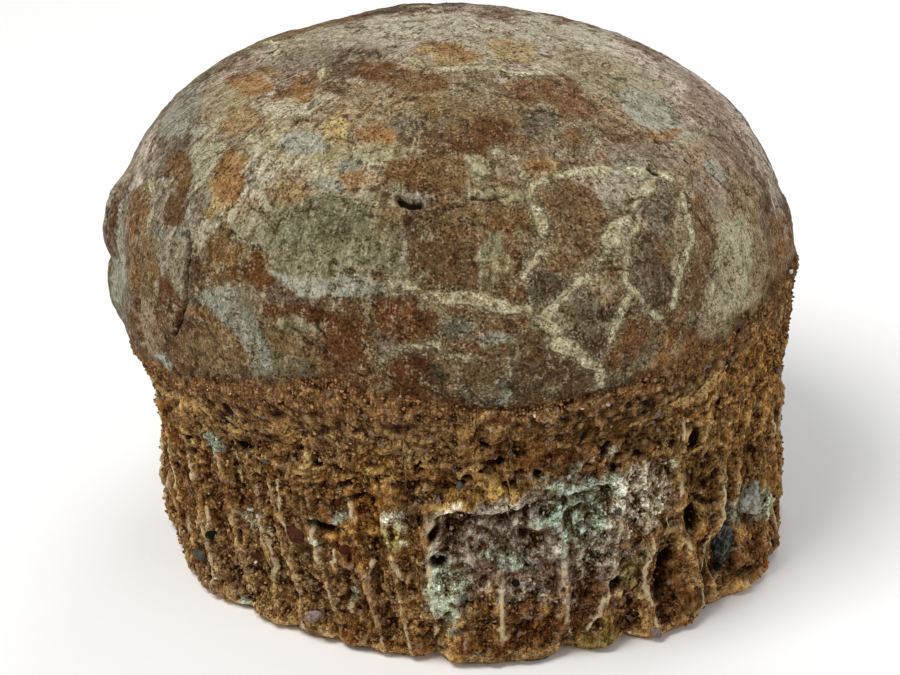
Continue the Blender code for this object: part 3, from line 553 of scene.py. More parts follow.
# Plates of shell whose colour ends at their edges: colour, strength, and globe places round the outline.
PLATES = [
    ("tobacco", 0.7, [(18, 43), (23.6, 44.5), (31.3, 44.5), (29.5, 39.5), (29.8, 36.4), (30.5, 33.4),
        (27.4, 30.4), (24.3, 28), (20.3, 26.2), (16, 27.2), (18, 31.5), (19.1, 35), (18.9, 38.8),
        (17.6, 40.8)]),
    ("dull_umber", 0.85, [(10.9, 9.5), (14.5, 10.5), (18.1, 8.4), (21, 4.8), (23.1, 0.4), (22.3, -3.3),
        (19.3, -4.8), (14.6, -5.2), (10.9, -3.7), (9.4, 0.3), (9.8, 5.6)]),
    ("dark_rust", 0.85, [(-30.9, 16.3), (-25.2, 17.9), (-20, 17.4), (-13.4, 17.3), (-12, 14.1),
        (-13, 8.2), (-17, 3.7), (-19.5, 6.8), (-20.5, 12.6), (-24.9, 14.5), (-30.6, 13.5)]),
    ("dull_umber", 0.85, [(-7, 31.9), (-4.6, 35), (1.4, 34.6), (4.9, 32), (4.6, 27.8), (3.1, 24.2),
        (-1.5, 24.1), (-5.5, 24.6), (-7.2, 28.3)]),
    ("grey_bark", 0.9, [(33.2, 31.3), (36.1, 31.4), (38.5, 28.9), (40, 24.9), (38.2, 21.6), (36.4, 16.8),
        (35, 13.1), (32.4, 14.7), (30.1, 17.9), (29.5, 21.7), (29.9, 25.4), (31.1, 28.5)]),
    ("khaki", 0.7, [(-13.5, 40.3), (-6.7, 41.5), (5.4, 41.5), (13.9, 40.3), (14.7, 38.6), (10.9, 36),
        (5.1, 36.9), (-2, 38.3), (-8.6, 37.4), (-12.7, 35.8)]),
    ("umber", 0.8, [(23.7, 69.9), (58.2, 67.5), (50.2, 61.4), (46.5, 57.2), (34.3, 56), (34.7, 60.5),
        (25.3, 63.6), (19.7, 66.1)]),
    ("khaki", 0.75, [(-49.2, 1.8), (-41.4, 8.2), (-35.4, 7), (-33, 0.9), (-34.7, -3.2), (-42.6, -5.8),
        (-47.7, -4.2)]),
    ("blue_ash", 0.8, [(-44.8, 13.5), (-40, 16.1), (-35.1, 15), (-31.9, 11.9), (-30.2, 7), (-28, 0.7),
        (-30.8, -3), (-33, 0.9), (-35.4, 7), (-39.9, 10.7), (-43.3, 11.1)]),
    ("dark_rust", 0.85, [(-11.1, 19.9), (-5.9, 19.7), (-2.1, 17.9), (-1, 14.8), (-3, 12.1), (-7.9, 10),
        (-10.6, 7.9)]),
    ("dull_umber", 0.75, [(0.6, 9.5), (4.2, 10.5), (8.6, 10.2), (9, 6.4), (9, 2), (7.7, 0.3), (3.7, 0.5),
        (1.1, 1.3)]),
    ("ice_grey", 0.75, [(61.6, 60.3), (71.9, 57.4), (75.9, 50.2), (67.4, 45.4), (59.4, 46.8),
        (55.9, 51.2), (57.7, 57)]),
    ("ice_grey", 0.9, [(-30.7, 23.7), (-25.9, 23.3), (-20.7, 24.4), (-14.5, 25.9), (-11, 25.2),
        (-10.5, 23.1), (-16.1, 21.4), (-21.9, 19.8), (-25.9, 20), (-29.3, 21.3)]),
    ("khaki", 0.8, [(-68.8, 14.3), (-58.5, 19.8), (-54.8, 14.3), (-54.2, 7), (-58.6, 3.2), (-65.2, 3.2),
        (-68.7, 7.8)]),
    ("dark_rust", 0.85, [(-12.3, 20.2), (-5.2, 22.4), (-4.5, 12.1), (-8.3, 10.6), (-10.8, 14.3)]),
    ("umber", 0.85, [(28.2, 14), (31.7, 13), (33.4, 10.7), (33, 6.2), (30.8, 3.3), (27.1, 0.8),
        (24.5, 1.6), (24.1, 4.8), (25.6, 7.9), (27.3, 11.6)]),
    ("peat", 0.85, [(18.4, 13.9), (24.6, 17.1), (28.2, 17.3), (26.7, 13.2), (24.5, 9), (23, 4), (21, 7.7),
        (18.5, 10.3), (17, 12.8)]),
    ("umber", 0.8, [(-58, 70.9), (-50.3, 74), (-34.2, 75.9), (-21.2, 74), (-1.4, 71.9), (1.6, 68.2),
        (-14.7, 67.4), (-29.3, 69.4), (-39.5, 69)]),
    ("rust_umber", 0.75, [(-0.7, 20.4), (4.8, 20.7), (12.2, 18.7), (11.9, 15.1), (10.3, 13.8),
        (4.7, 14.2), (3.7, 17.5), (-0.4, 17.9)]),
    ("dusty_grey", 0.7, [(33.2, 44.4), (39.8, 43.8), (43.9, 41.7), (43.8, 39.6), (39.1, 37.9),
        (35.2, 36.4), (31.6, 35.6), (29.8, 37.1), (30.4, 40.2)]),
    ("umber", 0.75, [(48.3, 34.3), (53, 33.1), (52.6, 29.2), (51.9, 23.6), (49.3, 19.9), (42, 22.9),
        (44.3, 27.3), (45.5, 31.2)]),
    ("tobacco", 0.8, [(42, 22.9), (49.3, 19.9), (46.4, 15.5), (43.8, 11), (40.5, 9.6), (37.6, 11.5),
        (38.6, 16), (40.6, 20.7)]),
    ("bone", 0.6, [(89.6, 72.8), (90.1, 64.7), (77.5, 60.6), (61.2, 62.9), (64.3, 68.7), (67, 72.7)]),
    ("dark_slate", 0.85, [(14.9, 26.7), (17.8, 26), (19.8, 23.1), (19.1, 20.8), (16.2, 18.2),
        (14.2, 16.9), (12.5, 19.2), (12, 22.7), (13.2, 25.4)]),
    ("dull_umber", 0.8, [(-14.7, 56.7), (-4.6, 57.9), (6.9, 53.8), (8.1, 51.4), (-3.9, 51.7), (-10.9, 53.7)]),
    ("khaki", 0.65, [(-7.3, 50.8), (3.3, 50.9), (8.1, 47.7), (5.7, 45.6), (-2.7, 45.1), (-6.5, 47.8)]),
    ("smoke", 0.7, [(-84.2, 34.1), (-71.7, 40), (-66.3, 39.1), (-67.8, 36.3), (-66.8, 32.7),
        (-68.5, 29.9), (-74, 27.7), (-78.5, 28), (-80, 32)]),
    ("grey_olive", 0.8, [(21.7, 22.2), (24, 20.5), (24.9, 17.7), (23.7, 15.4), (21.3, 14.3), (18.4, 13.9),
        (16.3, 14.5), (17, 17.3), (19.5, 20.1)]),
    ("ochre_tan", 0.9, [(-54.8, 41.7), (-49.5, 44.2), (-44.3, 40.2), (-41.8, 34.7), (-46.6, 33.7),
        (-51.6, 37.2)]),
    ("grey_bark", 0.75, [(-57.7, 66.3), (-76.6, 71.5), (-74.3, 74.2), (-45.5, 78.8), (-57.5, 74.1),
        (-47.4, 67.4), (-40.9, 63.1), (-46.9, 62.8)]),
    ("ice_grey", 1, [(-45.7, 50.4), (-42.6, 53), (-33.9, 53.2), (-30.5, 51), (-35, 47.3), (-40.6, 47)]),
    ("smoke", 0.85, [(42.9, 38.6), (46.3, 37), (45.5, 34.5), (42.3, 31.6), (38.5, 29.8), (37, 31.6),
        (37.2, 34.5), (39.7, 36.7)]),
    ("dark_rust", 0.7, [(11.8, 61.3), (17.2, 60.4), (17.9, 55.7), (12.2, 51.9), (7.6, 53.2), (7.9, 57.5)]),
    ("umber", 0.8, [(-75.5, 22.3), (-67.5, 27.9), (-63.5, 26.1), (-61.7, 22), (-68, 16.1), (-74, 17.2)]),
    ("tobacco", 0.7, [(-44.7, 25.3), (-39.4, 27.7), (-36.8, 24.1), (-36.8, 20.7), (-42.1, 18.2)]),
    ("tan", 0.75, [(-38.1, 38), (-35.2, 42.7), (-30.7, 43.2), (-28.6, 40.4), (-30.6, 36.7), (-34.9, 36.7)]),
    ("dark_rust", 0.75, [(8.6, 61.1), (18, 58.8), (12.5, 52.7), (8.4, 52.9), (4.7, 57)]),
    ("peat", 0.85, [(-8.9, 39.9), (-3.8, 40.5), (0.1, 40.6), (2.7, 41.9), (3, 40.8), (-2.4, 38.1),
        (-2.9, 35.4), (-6.5, 34.5), (-8.3, 37.2)]),
    ("smoke", 0.85, [(23.1, 60.4), (29.4, 61.9), (33.9, 61.2), (32.1, 58.7), (27.5, 54.7), (22.3, 53.4),
        (20.5, 55.8), (16.4, 56.4), (16, 57.6), (20.5, 57.8)]),
    ("dark_rust", 0.85, [(-37.3, 26.2), (-33.6, 27.8), (-31.6, 23.5), (-29.7, 21.2), (-31.7, 18.9),
        (-35.8, 19.9)]),
    ("khaki", 0.7, [(-30.8, 9.9), (-25.5, 9.6), (-21.2, 8.9), (-20.3, 3.5), (-24.5, 5.6), (-28.8, 5.5)]),
    ("dull_moss", 0.75, [(-58, 20.7), (-50.7, 22.6), (-48.6, 20.8), (-48.8, 17.1), (-50.9, 13.7),
        (-53.7, 13), (-55.8, 16.3)]),
    ("pale_olive", 0.7, [(3, 43.6), (7.8, 45.3), (11.2, 43.7), (16, 44.2), (16.5, 41.5), (10.7, 41.1),
        (3.8, 41.5)]),
    ("tobacco", 0.8, [(8.3, 39.2), (16.1, 39.2), (15.8, 35.1), (11.2, 34.9), (6.8, 36.2)]),
    ("grey_bark", 0.7, [(29, 55.6), (34.4, 55.4), (40.9, 55.4), (39.7, 52.6), (32.4, 49.6), (26.4, 51)]),
    ("ice_grey", 0.8, [(-77.6, 18.4), (-75.8, 20.1), (-72.2, 13.7), (-68.9, 9), (-68.3, 4), (-76.2, -8.2),
        (-80.3, -7.2), (-79.6, 2.2), (-72.5, 6.8), (-74.7, 12.2)]),
    ("burnt_sienna", 0.85, [(-6.8, 10.2), (-3, 10.9), (-3.2, 5.8), (-4.2, 0.8), (-6.2, 0.6), (-6.2, 5.6)]),
    ("dull_umber", 0.8, [(-62.8, 29.5), (-57.2, 32.7), (-53.8, 30.4), (-52.9, 26.7), (-54.7, 24.1),
        (-58.7, 24.7)]),
    ("tobacco", 0.8, [(-14.5, 49.5), (-8, 50), (-6.5, 47.5), (-6.9, 45.3), (-10.1, 43.7), (-13.1, 45.9)]),
    ("tobacco", 0.8, [(-70, 36.6), (-65.2, 38.2), (-59.5, 36.1), (-57, 33.4), (-60.8, 31.1), (-66.6, 32.2)]),
    ("dull_moss", 0.8, [(8.8, 51.1), (13.7, 52.8), (16.6, 51.6), (16.1, 47.6), (13, 45.4), (10.2, 48)]),
    ("rust_umber", 0.8, [(-1.4, 13.2), (2.1, 13.2), (3.6, 11.7), (10.7, 11.2), (10.9, 9.2), (4.6, 9.8),
        (-0.4, 11.4)]),
    ("dull_moss", 0.75, [(-10.9, 36), (-8.4, 35.8), (-7.4, 30.4), (-6.1, 27.3), (-8.9, 27.5), (-11, 32.2)]),
    ("tan", 0.8, [(-64.8, 46.4), (-68, 50.3), (-60.5, 52.9), (-52.5, 51), (-57.7, 47.3)]),
    ("ochre_tan", 0.8, [(-83.4, 51.3), (-89.4, 53.1), (-76.9, 58.8), (-66.9, 57.6), (-72.2, 53.8)]),
    ("dark_rust", 0.7, [(-10.7, 8.9), (-6.7, 7.9), (-6.4, 2.3), (-10.6, 2.5)]),
    ("ochre_tan", 0.85, [(-63.5, 60.7), (-69.7, 63.4), (-61.7, 65.2), (-48.8, 61.7), (-47.7, 58.7),
        (-54.4, 58.5)]),
    ("warm_grey", 0.75, [(-12, 14.7), (-9.6, 14.4), (-8.3, 10.6), (-5.2, 10.9), (-8.3, 8.9), (-10.6, 6.8),
        (-11.5, 10.2)]),
    ("bone", 0.8, [(-23.3, 46.1), (-18.3, 47.2), (-13.6, 46.6), (-15.6, 43.5), (-21.2, 43.1)]),
    ("ochre_tan", 0.8, [(-32.3, 84.1), (-8.4, 86.9), (23.1, 82.9), (30, 79.1), (13.6, 78.2), (-2.7, 80.3)]),
    ("burnt_sienna", 0.85, [(-50.6, 5), (-42.1, 9.8), (-42.5, 7), (-47.4, 1.4), (-50.5, 1.1)]),
    ("grey_olive", 0.85, [(33.4, 10.7), (34, 6.5), (32.5, 2.2), (29.9, -0.6), (26.7, -1.8), (26.1, 0.3),
        (30.2, 3.1), (32.7, 6.3)]),
    ("sage", 0.75, [(-28.7, 12.9), (-24.1, 15.3), (-20.9, 13.1), (-23, 10.9), (-27.3, 10.9)]),
    ("peat", 0.85, [(-49.9, 23.2), (-45.9, 23.1), (-44.4, 19), (-45.5, 13.8), (-47.2, 14.2)]),
    ("tan", 0.85, [(17.5, 47.2), (22.8, 49.9), (25.3, 49), (23.3, 45.2), (18.8, 44.4)]),
    ("mint_cream", 0.75, [(-61.5, 55.3), (-48.5, 59), (-41.9, 57.1), (-52.2, 53.9)]),
    ("warm_grey", 0.8, [(-67.9, 29.6), (-63.5, 31.4), (-61.4, 28.3), (-59.4, 24.3), (-58.7, 21),
        (-60.9, 19.9), (-62.3, 24.8)]),
    ("grey_olive", 0.7, [(20.4, 15.1), (24.6, 14.5), (24.3, 11.1), (22.5, 9.5), (20.2, 11.5)]),
    ("moss_grey", 0.8, [(4, 50.8), (6.9, 52.5), (8.9, 49.1), (7.9, 46), (4.1, 46.2)]),
    ("pale_sage", 0.75, [(-25.3, 49.7), (-15.6, 52.5), (-11.9, 51.2), (-17.2, 48.4)]),
    ("dark_rust", 0.8, [(-0.3, 57.2), (7.5, 57), (5.9, 53), (3.3, 52), (0.5, 53.2)]),
    ("dusty_grey", 0.7, [(44.7, 87.6), (75.9, 84.3), (43.7, 80.5), (38.1, 76.8), (26.8, 76.8), (28.6, 82)]),
    ("khaki", 0.75, [(5.8, 30.9), (9.3, 30.9), (10.1, 28.7), (8.5, 26.4), (5.6, 27.2)]),
    ("ochre_tan", 0.8, [(-23.8, 45.7), (-19.3, 47.4), (-17.5, 45.4), (-20, 41.9), (-22.4, 42.6)]),
    ("ochre_tan", 0.85, [(-26.2, 56.2), (-20.3, 57.9), (-14.7, 56.7), (-15.4, 54.1), (-22.7, 54.1)]),
    ("dusty_grey", 0.8, [(-51.4, 28.4), (-47.6, 29.9), (-45.3, 26.8), (-46.1, 23.6), (-49.4, 24)]),
    ("lichen", 0.75, [(0.7, 68.4), (3.2, 69.8), (7.9, 67.7), (11.7, 69.6), (16.4, 69.1), (19.7, 66.1),
        (15.4, 65.1), (8.9, 65.7), (1.5, 67.4)]),
    ("tobacco", 0.7, [(37, 28.5), (39.6, 25), (38.4, 21.5), (35.7, 22.4), (35.4, 25.8)]),
    ("dusty_tan", 0.7, [(12.1, 52.7), (15.5, 52.8), (15.5, 49.4), (13.6, 45.8), (12.2, 45.9), (11.6, 49.7)]),
    ("slate", 0.9, [(-1.1, 17.2), (3.5, 17.2), (3.1, 13.9), (-0.9, 14.3)]),
    ("blue_ash", 0.8, [(-30.2, 43.4), (-25.7, 44.8), (-21.6, 43.2), (-22, 41.6), (-26.3, 41.4)]),
    ("dark_olive", 0.85, [(-3.2, 7.8), (-0.4, 7.1), (0.1, 3.5), (-1.4, 1.4), (-2.9, 3.4)]),
    ("smoke", 0.7, [(-18, 58.7), (-16.3, 60.5), (-10.7, 60.8), (-7.2, 58.1), (-10, 56.7), (-14.6, 57.2)]),
    ("peat", 0.75, [(15.6, 24.4), (18.5, 24), (18.7, 21.5), (16.1, 20), (14.3, 21.5)]),
    ("dusty_grey", 0.6, [(-11.5, 43.7), (-2.8, 43.7), (-2.5, 41.8), (-5.4, 41.3), (-10.4, 42.4)]),
    ("dull_umber", 0.6, [(14.6, 49.2), (20.5, 50.2), (23.3, 48.3), (21.1, 46.8), (15.9, 47)]),
    ("blue_ash", 0.7, [(7.1, 3.3), (9.3, 3), (9.4, -1.2), (8.7, -4.8), (6.9, -4.1), (7.6, -0.2)]),
    ("pale_olive", 0.6, [(5.8, 31.1), (10.1, 30.9), (10.4, 27.7), (8.2, 27.5), (6, 29.4)]),
    ("blue_ash", 0.75, [(4.1, 13.2), (7.2, 13.9), (10, 13.5), (10, 11.3), (7.2, 11.7), (4.4, 11.5)]),
    ("ochre_tan", 0.85, [(15.2, 49.8), (23.4, 49.3), (22.6, 47.1), (17.7, 46.9), (15.1, 48.3)]),
    ("ochre_tan", 0.75, [(54.4, 48.8), (66.4, 45.8), (60, 44.7), (53.8, 46.2)]),
    ("green_cream", 0.75, [(4.1, 51.2), (7.6, 53), (9.1, 48.7), (7.7, 47.3), (5.3, 48.2)]),
    ("tan", 0.7, [(79.7, 83.3), (76.4, 78.2), (60, 76.2), (46.1, 78.7)]),
    ("peat", 0.8, [(11, 30.8), (14, 31.2), (13.5, 27.7), (11.2, 26.9)]),
    ("ochre_tan", 0.6, [(31.3, 55.3), (37.7, 54.8), (35.1, 51.8), (30.6, 51.5)]),
    ("umber", 0.75, [(12.4, -2.6), (16.9, -3.5), (16.5, -6.1), (12.8, -4.9)]),
    ("grey_bark", 0.8, [(6.7, 35.2), (8.2, 35.1), (7.6, 31), (6.5, 31.8)]),
    ("moss_grey", 0.7, [(-12.3, 45), (-10.1, 46.2), (-9.1, 44.3), (-11.5, 43.4)]),
    ("smoke", 0.6, [(-4.1, 59.3), (-0.2, 60.2), (1.1, 58.8), (-2.7, 57.7)]),
]
# Limy films lie over the browns. The material lets them break up at their edges.
FILMS = (
    "ice_grey dusty_grey pale_olive green_cream dusty_tan chalk_white moss_grey dull_moss warm_grey "
    "mint_cream sage pale_sage blue_ash"
).split()
BACK_COLOURS = (
    "dull_umber grey_olive umber peat dark_slate khaki ochre_tan tan moss_grey sage warm_grey dusty_tan "
    "dusty_grey dull_moss pale_olive dark_rust burnt_sienna grey_olive grey_bark"
).split()


FRONT_HALF, FRONT_TOP = 84.0, 58.0  # the azimuth and latitude within which every stain is placed


def back_stains(count=170):
    """Stains for the hidden side and the top, in the same kinds and sizes as the front's."""
    deal = random.Random(23)
    found = []
    while len(found) < count:
        azimuth, latitude = deal.uniform(-180.0, 180.0), math.degrees(math.asin(deal.uniform(-0.3, 0.99)))
        if abs(azimuth) < FRONT_HALF and latitude < FRONT_TOP:
            continue
        width = deal.uniform(3.0, 17.0)
        found.append((
            azimuth, latitude, width, width * deal.uniform(0.35, 0.9), deal.uniform(-90, 90),
            deal.choice(BACK_COLOURS), deal.uniform(0.5, 0.95),
        ))
    return found


def inside_plate(points, places):
    """How far inside a plate's outline each point lies, in millimetres. Outside it is less than zero."""
    middle, east, north, out = egg_place(*np.mean(places, axis=0))
    flat = np.column_stack([(points - middle) @ east, (points - middle) @ north])
    corners = np.array([[(egg_place(*place)[0] - middle) @ way for way in (east, north)] for place in places])
    inside = np.zeros(len(points), bool)
    nearest = np.full(len(points), FAR)
    for start, end in zip(corners, np.roll(corners, -1, axis=0)):
        run = end - start
        share = np.clip((flat - start) @ run / (run @ run), 0.0, 1.0)
        nearest = np.minimum(nearest, np.hypot(*(flat - start - share[:, None] * run).T))
        crossed = (start[1] > flat[:, 1]) != (end[1] > flat[:, 1])
        inside ^= crossed & (flat[:, 0] < start[0] + (flat[:, 1] - start[1]) * run[0] / (run[1] or 1e-9))
    return np.where((points - EGG_CENTRE) @ out > 0.0, np.where(inside, nearest, -nearest), -FAR)


def lay(colour, laid):
    """Lays a colour on the shell: a limy film over it, or a brown that clears most of the film away."""
    if colour in FILMS:
        cover[:] = cover + laid * (1.0 - cover)
        film[:] = film + (laid / np.maximum(cover, 1e-6))[:, None] * (COLOUR[colour] - film)
    else:
        cover[:] = cover * (1.0 - 0.85 * laid)
        paint[:] = paint + laid[:, None] * (COLOUR[colour] - paint)


bend = np.column_stack([lumpy(egg_points, 8.0, seed, 4) for seed in (11.0, 12.0, 13.0)])
frays = [lumpy(egg_points, size, seed, 5) for size, seed in ((5.0, 14.0), (3.4, 15.0), (7.0, 16.0))]
bent = egg_points + bend * 2.0
paint = np.tile(COLOUR["rust_umber"], (len(egg_points), 1))
film = np.tile(COLOUR["dusty_tan"], (len(egg_points), 1))
cover = np.full(len(egg_points), 0.1)
stains = back_stains() + EGG_STAINS
for number, (azimuth, latitude, half_width, half_height, turn, colour, strength) in enumerate(stains):
    reach = across_patch(bent, egg_outward, egg_place(azimuth, latitude), half_width, half_height, turn)
    fray = frays[number % 3] * (1 if number % 2 else -1)
    softness = 0.45 + half_width / 35.0  # large stains fade out more slowly
    lay(colour, strength * ease((1.1 + 0.3 * softness - reach + 0.5 * fray) / softness))
for number, (colour, strength, places) in enumerate(PLATES):
    fray = frays[number % 3]
    lay(colour, strength * ease(0.5 + (inside_plate(shaken, places) + 0.7 * fray) / 0.9))
print(len(stains), "stains and", len(PLATES), "plates; the film covers", cover.mean().round(2), "of the shell")

# %% [markdown]
# ## Veins
#
# Later, water left calcite in the cracks. The veins are a pale green-grey to white, up to two millimetres
# wide, and grainy at their edges. Each point of the shell keeps its distance to the nearest vein in an
# attribute. The material turns that distance into a crisp, crumbled edge, which is finer than the mesh.

# %% Veins
# Half width and globe places.
VEINS = [
    (1, [(20.8, 45.3), (16.9, 44), (15.8, 41.4), (16.9, 38.7), (17.3, 35.3), (16.2, 31.7), (14.3, 28.6),
        (12.3, 25.7)]),
    (0.9, [(21.2, 45.1), (26.8, 45.6), (34.3, 45.1), (40.1, 43.8), (45, 41.6), (47.9, 39.3)]),
    (1.2, [(28.3, 30.4), (31.9, 33.3), (36.5, 36.3), (40.1, 38.2), (44.4, 39.7)]),
    (0.7, [(25.4, 26.4), (27.8, 28.8), (30.9, 31)]),
    (1.1, [(-9.5, 24.4), (-7.5, 24.8), (-3.2, 23.1), (-0.6, 22.5), (5.5, 21.4), (9.3, 19.8), (12.1, 19.1)]),
    (0.9, [(13.6, 16.4), (15.8, 17.8), (18.7, 20.8), (22.4, 24.2)]),
    (1, [(12.4, 18.5), (14.5, 15.2), (16.5, 13.8)]),
    (1, [(16.3, 11.1), (19.3, 8.7), (22, 4.5), (23.9, 1.4)]),
    (0.9, [(29, 17.6), (26.2, 12.7), (24.1, 7.4), (23.1, 2.2), (23.5, -1.4)]),
    (0.7, [(49.9, 36.7), (47.4, 34), (45.4, 28.9), (43.5, 25.2), (40.3, 20.7), (38.4, 16.3), (36.9, 12.2)]),
    (0.4, [(48.2, 36.1), (43.7, 31.8), (39.3, 25.5)]),
    (0.5, [(54.1, 30.3), (52.7, 23.8), (49.9, 18.6), (46.6, 13.3), (44.4, 6.9)]),
    (1.1, [(31.8, 14.2), (35.2, 11.2)]),
    (0.6, [(35.4, 32.8), (30.5, 27.7), (29.4, 20.9), (31.9, 14.9)]),
    (0.5, [(-11.4, 5.8), (-8.3, 9.6), (-5.7, 10.8), (-3, 12.1), (-0.5, 10.2), (2.5, 9.2)]),
    (0.4, [(0.8, 1), (3.8, -0.1), (7.6, -0.1), (9.1, 1.8), (9, 7.9), (9.5, 12.4)]),
    (0.9, [(12, 52.7), (15.3, 50.6), (15.9, 47)]),
    (0.9, [(-34, 77.2), (-16.7, 76.3), (0.3, 75.8), (19.6, 76.3), (30.2, 73.9), (37.5, 71.4), (47.4, 69.7)]),
    (0.7, [(-75.4, 68.3), (-61.3, 66), (-51.2, 62.1), (-46, 58.8)]),
    (0.5, [(-70.9, 29.2), (-64.3, 25.7), (-61.8, 20.2)]),
    (0.4, [(-68.8, 28.7), (-64.4, 30.2), (-63.8, 32.8)]),
    (0.5, [(-73.2, 22.2), (-74.6, 14.9), (-74.2, 8.4), (-68.5, 6.6)]),
    (0.3, [(-42.8, 16.1), (-38.1, 14.5), (-34.6, 11), (-32.5, 5.6), (-30.3, -0.1)]),
    (0.3, [(-110.5, 62.6), (-114.2, 69.7), (-130.1, 79.3), (-142.6, 82)]),
    (0.3, [(-1, 68.1), (9.6, 70.5), (19.3, 65.7), (10.4, 65), (-1, 68.1)]),
    (0.3, [(-18.4, 60.3), (-13.1, 62.3), (-7.5, 59.1), (-12.4, 56.9)]),
    (0.3, [(24.1, 62.4), (34.5, 61.9), (30.3, 57), (26.4, 53.3)]),
    (0.3, [(29.9, 56.3), (42.6, 55.7), (35, 49.9), (26.4, 50.8)]),
    (0.3, [(-1.5, 17.6), (3.2, 17.2), (3.1, 13.7), (-1.1, 14.2), (-1.5, 17.6)]),
]


def back_veins(count=16):
    """Wandering veins for the hidden side."""
    deal = random.Random(41)
    found = []
    for _ in range(count):
        azimuth, latitude = deal.uniform(95.0, 265.0), deal.uniform(0.0, 60.0)
        heading = deal.uniform(0.0, math.tau)
        places = []
        for _ in range(deal.randint(3, 7)):
            places.append((azimuth, latitude))
            heading += deal.uniform(-0.7, 0.7)
            azimuth += 5.0 * math.cos(heading) / math.cos(math.radians(latitude))
            latitude = min(75.0, latitude + 5.0 * math.sin(heading))
        found.append((deal.uniform(0.3, 1.0), places))
    return found


vein = np.full(len(egg_points), 6.0)
swell = lumpy(egg_points, 5.0, 17.0, 3)
gaps = 1.5 * np.maximum(lumpy(egg_points, 7.0, 18.0, 2) - 0.08, 0.0)
for half_width, places in VEINS + back_veins():
    away, along, _ = from_line(shaken, egg_line(places))
    pinch = half_width * (0.95 + 0.9 * swell) - 0.8 * max(0.6 - half_width, 0.0)
    vein = np.minimum(vein, away - pinch + gaps)
egg_relief += 0.05 * ease(0.5 - vein / 1.2) * (1.0 - crack)
# How far each point stands above or below its neighbours: the material paints the low ones darker as shade and
# the high ones paler, partly as highlight.
shell_proud = np.clip((egg_relief - blurred(egg_relief, egg_shape, 10)) / 0.3, -1.0, 1.0)
egg_points = egg_points + egg_outward * egg_relief[:, None]
print(len(VEINS), "placed veins; nearest distance", vein.min().round(2), "mm")


# %% [markdown]
# Now the points go back into the mesh. One helper writes the attributes that the materials read: colours
# laid on by place, and plain numbers such as the distance to a vein.


# %% Finish the egg's mesh
def finished(name, shape, points, body="root"):
    """Moves a bmesh's vertices to points in millimetres, and makes an object of it in metres."""
    for vertex, point in zip(shape.verts, (points * MM).tolist()):
        vertex.co = point
    bmesh.ops.recalc_face_normals(shape, faces=shape.faces)
    mesh = bpy.data.meshes.new(name)
    shape.to_mesh(mesh)
    shape.free()
    mesh.shade_smooth()
    made = bpy.data.objects.new(name, mesh)
    bpy.context.scene.collection.objects.link(made)
    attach(made, body)
    return made


def give(piece, **fields):
    """Writes arrays to the piece's points: numbers, or colours as rows of red, green and blue."""
    for name, values in fields.items():
        values = np.asarray(values, np.float32)
        if values.ndim == 1:
            piece.data.attributes.new(name, "FLOAT", "POINT").data.foreach_set("value", values)
        else:
            rows = np.column_stack([np.clip(values, 0.0, 1.0), np.ones(len(values), np.float32)])
            piece.data.attributes.new(name, "FLOAT_COLOR", "POINT").data.foreach_set("color", rows.ravel())


eggshell = finished("eggshell", egg_shape, egg_points)
give(eggshell, paint=paint, film=film, cover=cover, vein=vein, seam=seam)
give(eggshell, crack=crack, coat=coat, proud=shell_proud)
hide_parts("egg")
print("eggshell:", len(eggshell.data.polygons) * 2, "triangles")

# %% [markdown]
# ## The block of rock
#
# The block is a low drum with near-upright sides. Its foot has its own radius all round, its head meets the
# egg, and between the two a chisel has left about forty upright scoops with sharp crests. The mesh is a grid
# rolled up into a ball of rings. The lowest rings are dealt to the flat underside, most go up the side, and
# the last run down inside, under the egg. Columns are dealt to the scoops, so that every crest has a column
# of its own and stays sharp.

# %% Block layout
# Crests between the scoops at the front: azimuth 20 mm up, and degrees of drift for each 10 mm down.
FRONT_CRESTS = [
    (-88, 1), (-80, 1.5), (-71, 2), (-62, 3), (-54.5, 1), (-46, 1), (-38.5, 0.8), (-33.5, 1.3), (-26, 1.2),
    (-18.5, 1.6), (-13, 1.4), (-6.8, 0.8), (5, 0.2), (16.5, 0.3), (25, -1.2), (33, 0.4), (42, 1.6),
    (49, -0.3), (55, 0.4), (63, -0.6), (71, 0.5), (80, -0.4),
]
CREST_HEIGHT, DRIFT_TOP = 20.0, 45.0
BACK_CRESTS = (89.0, 263.0)
CREST_SPACING = (6.0, 11.0)
CREST_DRIFT = 0.7
SCOOP_DEPTHS, SCOOP_TOPS = (1.2, 3.0), (36.0, 58.0)
SCOOP_FOOT = 9.0  # the scoops fade out below this height
FRONT_COLUMNS, BACK_COLUMNS = 18, 12
BASE_RINGS, WALL_RINGS, BOWL_RINGS = 9, 118, 8


def all_scoops():
    """Every scoop between two crests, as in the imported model: (left crest, right crest, depth, top)."""
    steps = random.Random(4)
    crests = list(FRONT_CRESTS)
    azimuth, end = BACK_CRESTS
    while azimuth < end:
        crests.append((azimuth, steps.uniform(-CREST_DRIFT, CREST_DRIFT)))
        azimuth += steps.uniform(*CREST_SPACING)
    crests = sorted((azimuth % 360.0, drift) for azimuth, drift in crests)
    crests.append((crests[0][0] + 360.0, crests[0][1]))
    sides = zip(crests, crests[1:])
    return [(left, right, steps.uniform(*SCOOP_DEPTHS), steps.uniform(*SCOOP_TOPS)) for left, right in sides]


SCOOPS = all_scoops()
crest_table = np.array([(*a, *b, depth, top) for a, b, depth, top in SCOOPS])
columns = []  # scoop number and share across it, for each column
for number, (left, right, _, _) in enumerate(SCOOPS):
    count = FRONT_COLUMNS if abs(apart(left[0], 0.0)) < 92.0 else BACK_COLUMNS
    columns += [(number, step / count) for step in range(count)]
column_scoop = np.array([scoop for scoop, _ in columns])
column_share = np.array([share for _, share in columns])
print(len(SCOOPS), "scoops,", len(columns), "columns")

